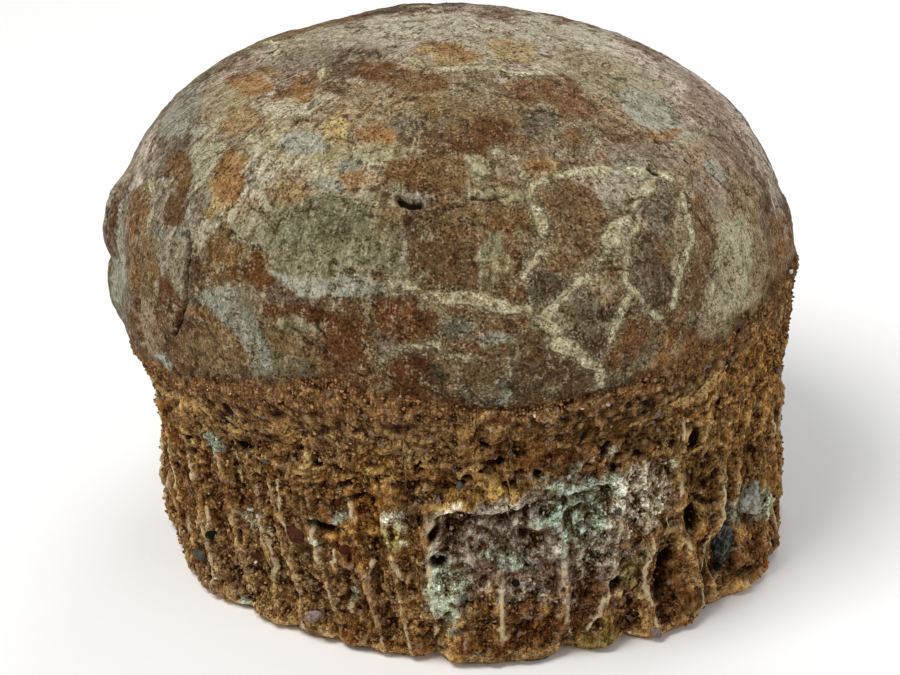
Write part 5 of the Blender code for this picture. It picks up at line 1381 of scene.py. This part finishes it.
deal = np.random.default_rng(5)
wall = np.flatnonzero((ring > BASE_RINGS + 2) & (ring < BASE_RINGS + WALL_RINGS - 1))
nearest = []
for row in PEBBLES:
    across = np.radians(apart(azimuth[wall], row[0])) * DRUM_RADIUS
    nearest.append(wall[np.argmin(np.hypot(across, height[wall] - row[1]))])
nearest = np.concatenate([nearest, deal.choice(wall, LOOSE_PEBBLES, replace=False)])
KINDS = ("sand_tan sand_tan gold_tan gold_tan black_chert slate_green oxblood rust_orange "
         "umber_dark deep_rust purple_grey sandstone sandstone umber_dark mauve_rock").split()
size = 0.5 + 1.0 * deal.random(LOOSE_PEBBLES) ** 3
sizes = np.concatenate([
    [(min(row[2], 2.4), min(row[3], 2.4), 0.35 * min(row[2:4]) + 0.2) for row in PEBBLES],
    np.column_stack([size, size * deal.uniform(0.6, 1.0, LOOSE_PEBBLES), size * 0.7]),
])
tones = [COLOUR[row[4]] for row in PEBBLES]
tones = np.array(tones + [COLOUR[kind] * 0.85 for kind in deal.choice(KINDS, LOOSE_PEBBLES)])
pebbles = add_stones("pebbles", rock_points[nearest], rock_outward[nearest], sizes, tones, 2, deal)
print("pebbles:", len(pebbles.data.polygons), "triangles")

# %% [markdown]
# The sand is dealt to the rough and open places, and least to the worn ridges. Most grains have the colour of
# the rock under them, and a few in a hundred are chert, lime or clay. The coat at the egg's foot gets grains
# of its own.

# %% Sand grains
GRAINS, COAT_GRAINS = 8192, 3072
ODD_SHARE = 0.035
SAND = "chalk sand_tan sand_tan black_chert black_chert deep_rust umber_dark gold_clay".split()
chance = (0.2 + band[wall]) * (1.0 - 0.9 * worn[wall]) * (1.0 - 0.6 * deep[wall])
chance *= np.where(np.abs(apart(azimuth[wall], 0.0)) < 95.0, 1.0, 0.75)
picks = deal.choice(wall, GRAINS, replace=False, p=chance / chance.sum())
size = 0.22 + 0.36 * deal.random(GRAINS) ** 2.5
sizes = np.column_stack([size * deal.uniform(0.8, 1.4, GRAINS), size * deal.uniform(0.7, 1.1, GRAINS), size])
odd = (deal.random(GRAINS) < ODD_SHARE)[:, None]
tones = np.where(odd, np.array([COLOUR[kind] for kind in deal.choice(SAND, GRAINS)]), rock_paint[picks])
tones = tones * (0.6 + 1.3 * deal.random(GRAINS) ** 1.6)[:, None]
sand = add_stones("sand_grains", rock_points[picks], rock_outward[picks], sizes, tones, 1, deal)
print("sand:", len(sand.data.polygons), "triangles")

coat_spots = np.flatnonzero((coat > 0.6) & (above_rock > -3.0) & (above_rock < 22.0))
picks = deal.choice(coat_spots, COAT_GRAINS, replace=False)
size = 0.22 + 0.42 * deal.random(COAT_GRAINS) ** 2.5
sizes = np.column_stack([size * 1.2, size * 0.9, size * 0.9])
odd = (deal.random(COAT_GRAINS) < ODD_SHARE)[:, None]
tones = np.where(odd, np.array([COLOUR[kind] for kind in deal.choice(SAND, COAT_GRAINS)]), COLOUR["sandstone"])
tones = tones * (0.55 + 1.2 * deal.random(COAT_GRAINS) ** 1.6)[:, None]
coat_sand = add_stones("coat_grains", egg_points[picks], egg_outward[picks], sizes, tones, 1, deal)
print("grains on the coat:", len(coat_sand.data.polygons), "triangles")

# %% [markdown]
# ## The two large pebbles
#
# Two pebbles in the lower right are whole pieces of their own: a nearly black, glassy chert and a soft
# grey-green mudstone above it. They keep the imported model's place and size, and get facets and cracks.


# %% Large pebbles
def large_pebble(name, node, azimuth, half_sizes, seed):
    """A pebble in its node's place: an icosphere with noise and flat breaks, turned to face outwards."""
    low, high = (np.array(corner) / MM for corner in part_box(node))
    shape = bmesh.new()
    bmesh.ops.create_icosphere(shape, subdivisions=5, radius=1.0)
    ball = np.array([vertex.co for vertex in shape.verts])
    _, border, tone = cells(ball, 0.5, seed)
    bump = 1.0 + 0.3 * lumpy(ball, 0.9, seed, 5) + 0.14 * (tone - 0.5) - 0.06 * ease(1.0 - border * 6.0)
    ball = ball * bump[:, None] * half_sizes
    angle = math.radians(azimuth)
    turned = np.column_stack([ball[:, 0] * math.cos(angle) - ball[:, 1] * math.sin(angle),
                              ball[:, 0] * math.sin(angle) + ball[:, 1] * math.cos(angle), ball[:, 2]])
    made = finished(name, shape, (low + high) / 2.0 + turned)
    give(made, border=border)
    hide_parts(node)
    return made


dark_stone = large_pebble("dark_stone", "dark_pebble", 53.6, (3.4, 3.1, 5.6), 3.0)
green_stone = large_pebble("green_stone", "green_pebble", 59.5, (4.0, 3.3, 3.9), 8.0)
print("large pebbles:", len(dark_stone.data.polygons), "triangles each")

# %% [markdown]
# ## Materials
#
# Every stone here is a rough, non-metallic mineral, so each material is one Principled shader. What differs
# is the colour pattern, the size of the grain in the bump and the gloss. One small function adds a node with
# its settings and its links.


# %% Node helper
def add(tree, kind, inputs=(), **settings):
    """Adds a node. Each of its inputs is given a value, or another node's output to link to."""
    made = tree.nodes.new(kind)
    for name, value in settings.items():
        setattr(made, name, value)
    for socket, value in dict(inputs).items():
        if isinstance(value, bpy.types.NodeSocket):
            tree.links.new(value, made.inputs[socket])
        else:
            made.inputs[socket].default_value = value
    return made


def new_material(name, roughness, specular=0.5):
    """A material with a Principled shader and the piece's own Object coordinates, in millimetres."""
    material = bpy.data.materials.new(name)
    material.use_nodes = True
    tree = material.node_tree
    shader = tree.nodes["Principled BSDF"]
    shader.inputs["Roughness"].default_value = roughness
    shader.inputs["Specular IOR Level"].default_value = specular
    coordinates = add(tree, "ShaderNodeTexCoord")
    millimetres = add(tree, "ShaderNodeVectorMath", {0: coordinates.outputs["Object"], 1: (1000.0,) * 3},
                      operation="MULTIPLY").outputs[0]
    return material, tree, shader, millimetres


def rgba(name, level=1.0):
    """A colour from the chart as a shader wants it, and how much brighter or darker."""
    return (*(COLOUR[name] * level), 1.0)


print("sandstone on a shader:", [round(value, 3) for value in rgba("sandstone")])

# %% [markdown]
# ### Pebbly sandstone
#
# The sandstone is sand and pebbles in a clay and iron cement, broken with a chisel and fully matt. Its
# colour changes grain by grain: what stands proud is paler, partly from dust and partly as a painted highlight,
# the cement shows red-brown between, and the hollows are painted nearly black as shade. The same look is
# needed on the rough coat at the foot of the egg, so it is one function that returns a colour and a height.


# %% Layers of colour
def layer(tree, colour, field, low, high, other, most=1.0, blend="MIX"):
    """Lays another colour over a colour: none of it where the field is at low, and `most` of it at high."""
    amount = add(tree, "ShaderNodeMapRange", {0: field, 1: low, 2: high, 4: most}).outputs[0]
    mixed = {0: amount, 6: colour, 7: other}
    return add(tree, "ShaderNodeMix", mixed, data_type="RGBA", blend_type=blend).outputs[2]


def shaded(tree, colour, field, dark, light):
    """Darkens a colour towards warm brown where a noise is low, and pales it where the noise is high."""
    share = add(tree, "ShaderNodeMapRange", {0: field, 1: 0.32, 2: 0.68}).outputs[0]
    ends = {0: share, 6: (dark, dark * 0.93, dark * 0.83, 1.0), 7: (light, light, light * 1.02, 1.0)}
    level = add(tree, "ShaderNodeMix", ends, data_type="RGBA").outputs[2]
    mixed = {0: 1.0, 6: colour, 7: level}
    return add(tree, "ShaderNodeMix", mixed, data_type="RGBA", blend_type="MULTIPLY").outputs[2]


def frayed(tree, value, *weighted):
    """A value made uneven: each noise, less its middle of a half, is added with a weight."""
    for field, weight in weighted:
        scaled = {0: field, 1: weight, 2: value}
        value = add(tree, "ShaderNodeMath", scaled, operation="MULTIPLY_ADD").outputs[0]
        value = add(tree, "ShaderNodeMath", {0: value, 1: 0.5 * weight}, operation="SUBTRACT").outputs[0]
    return value


def dress(pieces, material, colour, *heights):
    """Finishes a material and gives it to pieces. A height is a field, its strength and its depth in mm."""
    tree = material.node_tree
    shader = tree.nodes["Principled BSDF"]
    tree.links.new(colour, shader.inputs["Base Color"])
    normal = None
    for field, strength, depth in heights:
        inputs = {"Height": field, "Strength": strength, "Distance": depth * MM}
        normal = add(tree, "ShaderNodeBump", inputs | ({"Normal": normal} if normal else {})).outputs[0]
    tree.links.new(normal, shader.inputs["Normal"])
    for piece in pieces:
        piece.data.materials.append(material)
    print(material.name, "has", len(tree.nodes), "nodes")


# Noises that every stone here shares: the size of their lumps in millimetres, detail, roughness and offset.
NOISES = {
    "broad": (5.0, 8.0, 0.7, 0.0),
    "other": (3.2, 8.0, 0.7, 31.0),
    "middle": (2.0, 6.0, 0.7, 7.0),
    "small": (1.1, 5.0, 0.7, 53.0),
    "fine": (0.6, 3.0, 0.65, 13.0),
    "grit": (0.42, 1.0, 0.6, 71.0),
}


def noises(tree, mm, *names):
    """The shared noises that a material asks for. Each is shifted, so that no two lie on one another."""
    made = []
    for name in names:
        size, detail, roughness, offset = NOISES[name]
        place = add(tree, "ShaderNodeVectorMath", {0: mm, 1: (offset, offset, offset)}).outputs[0]
        settings = {"Vector": place, "Scale": 1.0 / size, "Detail": detail, "Roughness": roughness}
        made.append(add(tree, "ShaderNodeTexNoise", settings).outputs[0])
    return made


print("a layer of colour takes two nodes;", len(NOISES), "noises are shared")

# %% [markdown]
# Sandstone's own look comes next. It is one function, because the rough coat at the egg's foot needs it too.

# %% Sandstone look
# How bright the sandstone is, from its deepest pores (0) to its highest points (1). Part is grain tone, and
# part
# is painted: shade in the hollows, and a highlight with dust on what stands proud.
# Each step is a place on the ramp, and what the rock's red, green and blue are multiplied by there.
SANDSTONE_RAMP = (
    (0.0, 0.03, 0.012, 0.003),
    (0.25, 0.24, 0.14, 0.055),
    (0.5, 1.01, 0.95, 0.7),
    (0.72, 2.55, 2.8, 2.4),
    (1.0, 5.1, 6.2, 6.2),
)


def sandstone_look(tree, mm, paint, proud):
    """Colour and height of broken sandstone, from its laid-on colour and how far each place stands proud."""
    broad, middle, small, fine, grit = noises(tree, mm, "broad", "middle", "small", "fine", "grit")
    upright = add(tree, "ShaderNodeVectorMath", {0: mm, 1: (1.0, 1.0, 0.13)}, operation="MULTIPLY").outputs[0]
    tool = {"Vector": upright, "Scale": 1.1, "Detail": 5.0, "Roughness": 0.7}
    tooled = add(tree, "ShaderNodeTexNoise", tool).outputs[0]
    level = frayed(tree, 0.0, (middle, 3.6), (small, 2.6), (fine, 2.4), (grit, 2.6))
    calm = add(tree, "ShaderNodeMapRange", {0: broad, 1: 0.4, 2: 0.62, 3: 0.35, 4: 1.3}).outputs[0]
    # Standing proud raises the level: the hollows are painted darker as shade and the high points paler as a
    # highlight.
    level = add(tree, "ShaderNodeMath", {0: level, 1: calm, 2: proud}, operation="MULTIPLY_ADD").outputs[0]
    level = frayed(tree, level, (tooled, 2.8))
    place = add(tree, "ShaderNodeMapRange", {0: level, 1: -1.6, 2: 1.6}).outputs[0]
    shade = add(tree, "ShaderNodeValToRGB", {0: place})
    ramp = shade.color_ramp
    while len(ramp.elements) < len(SANDSTONE_RAMP):
        ramp.elements.new(0.5)
    for element, (position, *levels) in zip(ramp.elements, SANDSTONE_RAMP):
        element.position = position
        element.color = (*levels, 1.0)
    mixed = {0: 1.0, 6: paint, 7: shade.outputs[0]}
    colour = add(tree, "ShaderNodeMix", mixed, data_type="RGBA", blend_type="MULTIPLY").outputs[2]
    grain = add(tree, "ShaderNodeTexVoronoi", {"Vector": mm, "Scale": 1.1}, feature="F1")
    parts = add(tree, "ShaderNodeSeparateColor", {0: grain.outputs["Color"]})
    colour = layer(tree, colour, parts.outputs[0], 0.86, 0.9, rgba("rust_orange", 0.8), 0.45)
    colour = layer(tree, colour, parts.outputs[1], 0.94, 0.96, rgba("pink_grey"), 0.5)
    colour = layer(tree, colour, parts.outputs[2], 0.94, 0.96, rgba("umber_dark", 0.3), 0.6)
    return colour, level


stone, tree, shader, mm = new_material("Pebbly_red_sandstone", 0.95, 0.03)
paint = add(tree, "ShaderNodeAttribute", attribute_name="paint").outputs["Color"]
proud, worn_and_highlight_field, deep_shade_field = (
    add(tree, "ShaderNodeAttribute", attribute_name=name).outputs["Fac"] for name in ("proud", "worn", "deep")
)
colour, level = sandstone_look(tree, mm, paint, proud)
small, fine = noises(tree, mm, "small", "fine")
# The worn crests are paler from rubbing and dust, and painted paler still as a highlight.
worn_and_highlight_edge = frayed(tree, worn_and_highlight_field, (small, 0.9), (fine, 0.8))
pale = layer(tree, colour, worn_and_highlight_edge, 0.1, 0.4, rgba("crest", 0.8), 0.6)
colour = layer(tree, pale, worn_and_highlight_edge, 0.25, 0.6, rgba("crest", 1.6), 0.9)
# Cavities, slots and the rings round the pebble pockets are painted nearly black, as shade.
colour = layer(tree, colour, frayed(tree, deep_shade_field, (small, 0.8)), 0.25, 0.8, rgba("umber_dark", 0.12), 0.92)
dress([rock], stone, colour, (level, 0.8, 0.7), (fine, 0.6, 0.5))

# %% [markdown]
# ### Weathered fossil shell
#
# Fossil eggshell is calcite, stained by iron and polished a little by hand and tool. It has a satin gloss
# on top and none in the rough coat. The laid-on colours are soft, so the material breaks them up as
# weathering does: the brown shows darker in its pores and paler where dust lies on it, a limy film comes and
# goes over it by 2 to 5 mm, and everything is streaked and speckled by grains of half a millimetre. The
# seams between plates are thin dark lines that come and go, hairline cracks cross them, and the veins get
# their crumbly edge here.

# %% Shell material
shell, tree, shader, mm = new_material("Weathered_fossil_shell", 0.55, 0.12)
broad, other, middle, small, fine, grit = noises(tree, mm, *NOISES)
paint = add(tree, "ShaderNodeAttribute", attribute_name="paint").outputs["Color"]
film_colour = add(tree, "ShaderNodeAttribute", attribute_name="film").outputs["Color"]
cover_field, vein_field, seam_field, crack_shade_field, coat_field, proud = (
    add(tree, "ShaderNodeAttribute", attribute_name=name).outputs["Fac"]
    for name in ("cover", "vein", "seam", "crack", "coat", "proud")
)

# Streaks about a millimetre wide run up and down the dome: noise on a drum, drawn out along its height.
STREAK_DRUM = 60.0
about = add(tree, "ShaderNodeVectorMath", {0: mm, 1: EGG_CENTRE}, operation="SUBTRACT").outputs[0]
flat = add(tree, "ShaderNodeVectorMath", {0: about, 1: (1.0, 1.0, 0.0)}, operation="MULTIPLY").outputs[0]
way = add(tree, "ShaderNodeVectorMath", {0: flat}, operation="NORMALIZE").outputs[0]
rise = add(tree, "ShaderNodeVectorMath", {0: about, 1: (0.0, 0.0, 0.14)}, operation="MULTIPLY").outputs[0]
on_drum = {0: way, 1: (STREAK_DRUM,) * 3, 2: rise}
drum = add(tree, "ShaderNodeVectorMath", on_drum, operation="MULTIPLY_ADD").outputs[0]
run = {"Vector": drum, "Scale": 0.8, "Detail": 5.0, "Roughness": 0.7}
streak = add(tree, "ShaderNodeTexNoise", run).outputs[0]

# The bare shell: rusty and olive washes, dark pores and dust.
RUST_WASH, PORE_WASH, OLIVE_WASH = (1.0, 0.66, 0.34, 1.0), (0.4, 0.24, 0.1, 1.0), (0.72, 0.95, 0.9, 1.0)
# The hollow wash is painted shade for the low places of the shell.
EARTH_WASH, HOLLOW_SHADE_WASH, FLECK_WASH = (0.6, 0.5, 0.34, 1.0), (0.45, 0.32, 0.18, 1.0), (0.3, 0.16, 0.06, 1.0)
brown = layer(tree, paint, frayed(tree, broad, (small, 0.6)), 0.42, 0.6, RUST_WASH, 0.6, "MULTIPLY")
brown = layer(tree, brown, frayed(tree, middle, (fine, 0.9)), 0.55, 0.27, PORE_WASH, 0.75, "MULTIPLY")
brown = layer(tree, brown, frayed(tree, other, (small, 0.7)), 0.5, 0.32, OLIVE_WASH, 0.6, "MULTIPLY")
dust = frayed(tree, broad, (other, 1.2), (small, 0.8), (fine, 0.7), (streak, 0.6))
brown = layer(tree, brown, dust, 0.6, 0.78, rgba("vein"), 0.5)
# The limy film: earth shows through it in places, and it thickens to white in others.
lime = layer(tree, film_colour, frayed(tree, other, (streak, 1.0)), 0.6, 0.25, EARTH_WASH, 0.75, "MULTIPLY")
thick = frayed(tree, middle, (small, 0.8), (streak, 0.8))
lime = layer(tree, lime, thick, 0.5, 0.85, rgba("lime", 1.35), 0.75)
film_edge = frayed(tree, cover_field, (broad, 1.1), (other, 1.0), (small, 1.0), (streak, 0.8))
colour = layer(tree, brown, film_edge, 0.2, 0.8, lime, 0.95)

# Veins: a faint stain round each, a thin dark edge, and then the calcite.
vein_edge = frayed(tree, vein_field, (broad, 1.4), (middle, 1.8), (small, 1.6), (fine, 1.2))
colour = layer(tree, colour, frayed(tree, vein_edge, (other, 3.0)), 2.0, 0.0, rgba("vein", 0.8), 0.4)
colour = layer(tree, colour, vein_edge, 1.0, 0.5, rgba("umber_dark", 0.6), 0.35)
calcite = layer(tree, rgba("vein", 1.1), small, 0.42, 0.6, rgba("vein_white", 1.15))
calcite = shaded(tree, calcite, middle, 0.75, 1.2)
colour = layer(tree, colour, vein_edge, 0.25, 0.0, calcite, 0.95)

# Hairline cracks are the borders of bent cells 8 mm across. They show only here and there, some with lime
# beside them. Grains of calcite are scattered near the veins.
bend_settings = {"Vector": mm, "Scale": 0.25, "Detail": 4.0, "Roughness": 0.65}
bending = add(tree, "ShaderNodeTexNoise", bend_settings).outputs[1]
shifted = {0: bending, 1: (6.0,) * 3, 2: mm}
bowed = add(tree, "ShaderNodeVectorMath", shifted, operation="MULTIPLY_ADD").outputs[0]
net = {"Vector": bowed, "Scale": 0.12}
hairs = add(tree, "ShaderNodeTexVoronoi", net, feature="DISTANCE_TO_EDGE").outputs[0]
dark_share = add(tree, "ShaderNodeMapRange", {0: other, 1: 0.48, 2: 0.58, 4: 0.8}).outputs[0]
pale_share = add(tree, "ShaderNodeMapRange", {0: broad, 1: 0.52, 2: 0.64, 4: 0.5}).outputs[0]
pale_hairs = frayed(tree, hairs, (small, 0.25), (fine, 0.15))
colour = layer(tree, colour, pale_hairs, 0.1, 0.02, rgba("vein"), pale_share)
dark_hairs = frayed(tree, hairs, (fine, 0.06))
colour = layer(tree, colour, dark_hairs, 0.03, 0.012, rgba("umber_dark", 0.25), dark_share)
near = add(tree, "ShaderNodeMapRange", {0: vein_edge, 1: 3.0, 2: 0.8, 4: 0.4}).outputs[0]
scatter = frayed(tree, grit, (fine, 1.0), (small, 1.0))
colour = layer(tree, colour, scatter, 0.58, 0.8, rgba("vein_white"), near)

# What is low is painted darker as shade, what stands proud is paler, partly from lime dust and partly as a
# painted highlight, and thin dark seams run between the plates.
colour = layer(tree, colour, proud, 0.0, -1.0, HOLLOW_SHADE_WASH, 0.75, "MULTIPLY")
colour = layer(tree, colour, frayed(tree, proud, (small, 1.6)), 0.4, 1.5, rgba("lime", 1.05), 0.35)
seam_edge = frayed(tree, seam_field, (middle, 0.9), (small, 0.5))
often = add(tree, "ShaderNodeMapRange", {0: broad, 1: 0.42, 2: 0.58, 4: 0.8}).outputs[0]
colour = layer(tree, colour, seam_edge, 0.45, 0.1, rgba("umber_dark", 0.5), often)
# Pores and pale grains crowd together in some places and leave others plain. Every noise shades it a little.
fleck = frayed(tree, grit, (fine, 1.3), (other, 1.6))
colour = layer(tree, colour, fleck, 0.38, 0.2, FLECK_WASH, 0.85, "MULTIPLY")
colour = layer(tree, colour, fleck, 0.68, 0.95, rgba("lime", 1.4), 0.4)
for field, swing in ((middle, 0.16), (small, 0.24), (fine, 0.24), (grit, 0.16), (streak, 0.16)):
    colour = shaded(tree, colour, field, 1.0 - swing, 1.0 + swing)

# The rough coat is sandstone, and the open cracks are painted nearly black inside, as shade.
coat_paint = layer(tree, rgba("sandstone"), broad, 0.4, 0.6, rgba("umber_dark"), 0.5)
rocky, level = sandstone_look(tree, mm, coat_paint, proud)
coat_edge = frayed(tree, coat_field, (other, 1.6), (small, 1.2), (fine, 0.8))
colour = layer(tree, colour, coat_edge, 0.2, 0.9, rocky)
colour = layer(tree, colour, crack_shade_field, 0.35, 0.75, rgba("umber_dark", 0.12), 0.94)

# A satin gloss that comes and goes on the shell, and none on the coat.
gloss = add(tree, "ShaderNodeMapRange", {0: middle, 1: 0.3, 2: 0.7, 3: 0.68, 4: 0.46}).outputs[0]
coated = add(tree, "ShaderNodeMapRange", {0: coat_edge, 1: 0.2, 2: 0.9}).outputs[0]
matt = add(tree, "ShaderNodeMix", {0: coated, 2: gloss, 3: 0.9}, data_type="FLOAT").outputs[0]
tree.links.new(matt, shader.inputs["Roughness"])
rough = add(tree, "ShaderNodeMath", {0: level, 1: coated}, operation="MULTIPLY").outputs[0]
crumbs = add(tree, "ShaderNodeMapRange", {0: vein_edge, 1: 0.8, 2: -0.6}).outputs[0]
dress([eggshell], shell, colour, (broad, 0.8, 2.2), (middle, 0.8, 1.2), (small, 0.8, 0.7), (fleck, 0.7, 0.3),
      (streak, 0.7, 0.7), (crumbs, 0.4, 0.15), (rough, 0.6, 0.45))

# %% [markdown]
# ### Pebbles, chert and mudstone
#
# The small stones take their colour from the attribute that they were dealt, with a little noise. Chert is
# dense, dark and a little glossy, with paler healed cracks. Mudstone is matt and powdery.

# %% Stone materials
grit_stone, tree, shader, mm = new_material("Mixed_gravel_and_sand", 0.9, 0.05)
(speckle,) = noises(tree, mm, "fine")
paint = add(tree, "ShaderNodeAttribute", attribute_name="paint").outputs["Color"]
dress([pebbles, sand, coat_sand], grit_stone, shaded(tree, paint, speckle, 0.5, 1.45), (speckle, 0.5, 0.5))

for piece, name, body_colour, line_colour, roughness in (
    (dark_stone, "Black_chert", "black_chert", "slate_light", 0.6),
    (green_stone, "Grey_green_mudstone", "grey_green_rock", "sandstone", 0.85),
):
    material, tree, shader, mm = new_material(name, roughness, 0.25)
    middle, speckle = noises(tree, mm, "middle", "small")
    border_field = add(tree, "ShaderNodeAttribute", attribute_name="border").outputs["Fac"]
    colour = shaded(tree, rgba(body_colour, 1.2), speckle, 0.4, 1.6)
    colour = layer(tree, colour, frayed(tree, middle, (speckle, 1.5)), 0.55, 0.75, rgba(line_colour), 0.7)
    colour = layer(tree, colour, border_field, 0.14, 0.04, rgba(line_colour), 0.7)
    dress([piece], material, colour, (speckle, 0.7, 0.8))
print("materials:", sorted(material.name for material in bpy.data.materials))

# %% [markdown]
# ## Floor and light
#
# A specimen like this is shown on a plain pale sweep under large soft lamps. The key comes from above, a
# little to the left and in front, so that the dome is brightest on top and the chisel scoops still cast
# short shadows. A weaker fill from the right opens them up. A third lamp behind whitens the floor and rims
# the crown, and a pale, even sky lights the rest.

# %% Floor and lamps
HALF_FLOOR = 6.0  # in metres
shape = bmesh.new()
bmesh.ops.create_grid(shape, x_segments=1, y_segments=1, size=HALF_FLOOR)
bmesh.ops.translate(shape, verts=shape.verts, vec=(0.0, 0.0, float(rock_points[:, 2].min()) * MM))
mesh = bpy.data.meshes.new("floor")
shape.to_mesh(mesh)
shape.free()
floor = bpy.data.objects.new("floor", mesh)
bpy.context.scene.collection.objects.link(floor)
paper, tree, shader, _ = new_material("White_card", 0.9, 0.2)
shader.inputs["Base Color"].default_value = (0.94, 0.94, 0.94, 1.0)
mesh.materials.append(paper)


def lamp(name, place, aim, size, power, colour=(1.0, 1.0, 1.0)):
    """A square soft lamp that faces a point. Places and sizes are in metres."""
    data = bpy.data.lights.new(name, "AREA")
    data.size, data.energy, data.color = size, power, colour
    made = bpy.data.objects.new(name, data)
    bpy.context.scene.collection.objects.link(made)
    made.location = place
    made.rotation_euler = (Vector(aim) - Vector(place)).to_track_quat("-Z", "Y").to_euler()
    return made


AIM = (0.0, 0.0, 0.06)
lamp("Key", (-0.40, -0.30, 0.95), AIM, 0.45, 8.0, (1.0, 0.98, 0.95))
lamp("Fill", (0.75, -0.65, 0.45), AIM, 0.6, 1.6)
lamp("Back", (0.3, 0.75, 0.8), AIM, 0.6, 4.0)
world = bpy.data.worlds.new("Studio")
world.use_nodes = True
sky = world.node_tree.nodes["Background"]
sky.inputs["Color"].default_value = (0.97, 0.98, 1.0, 1.0)
sky.inputs["Strength"].default_value = 0.36
bpy.context.scene.world = world
bpy.context.scene.view_settings.view_transform = "Standard"
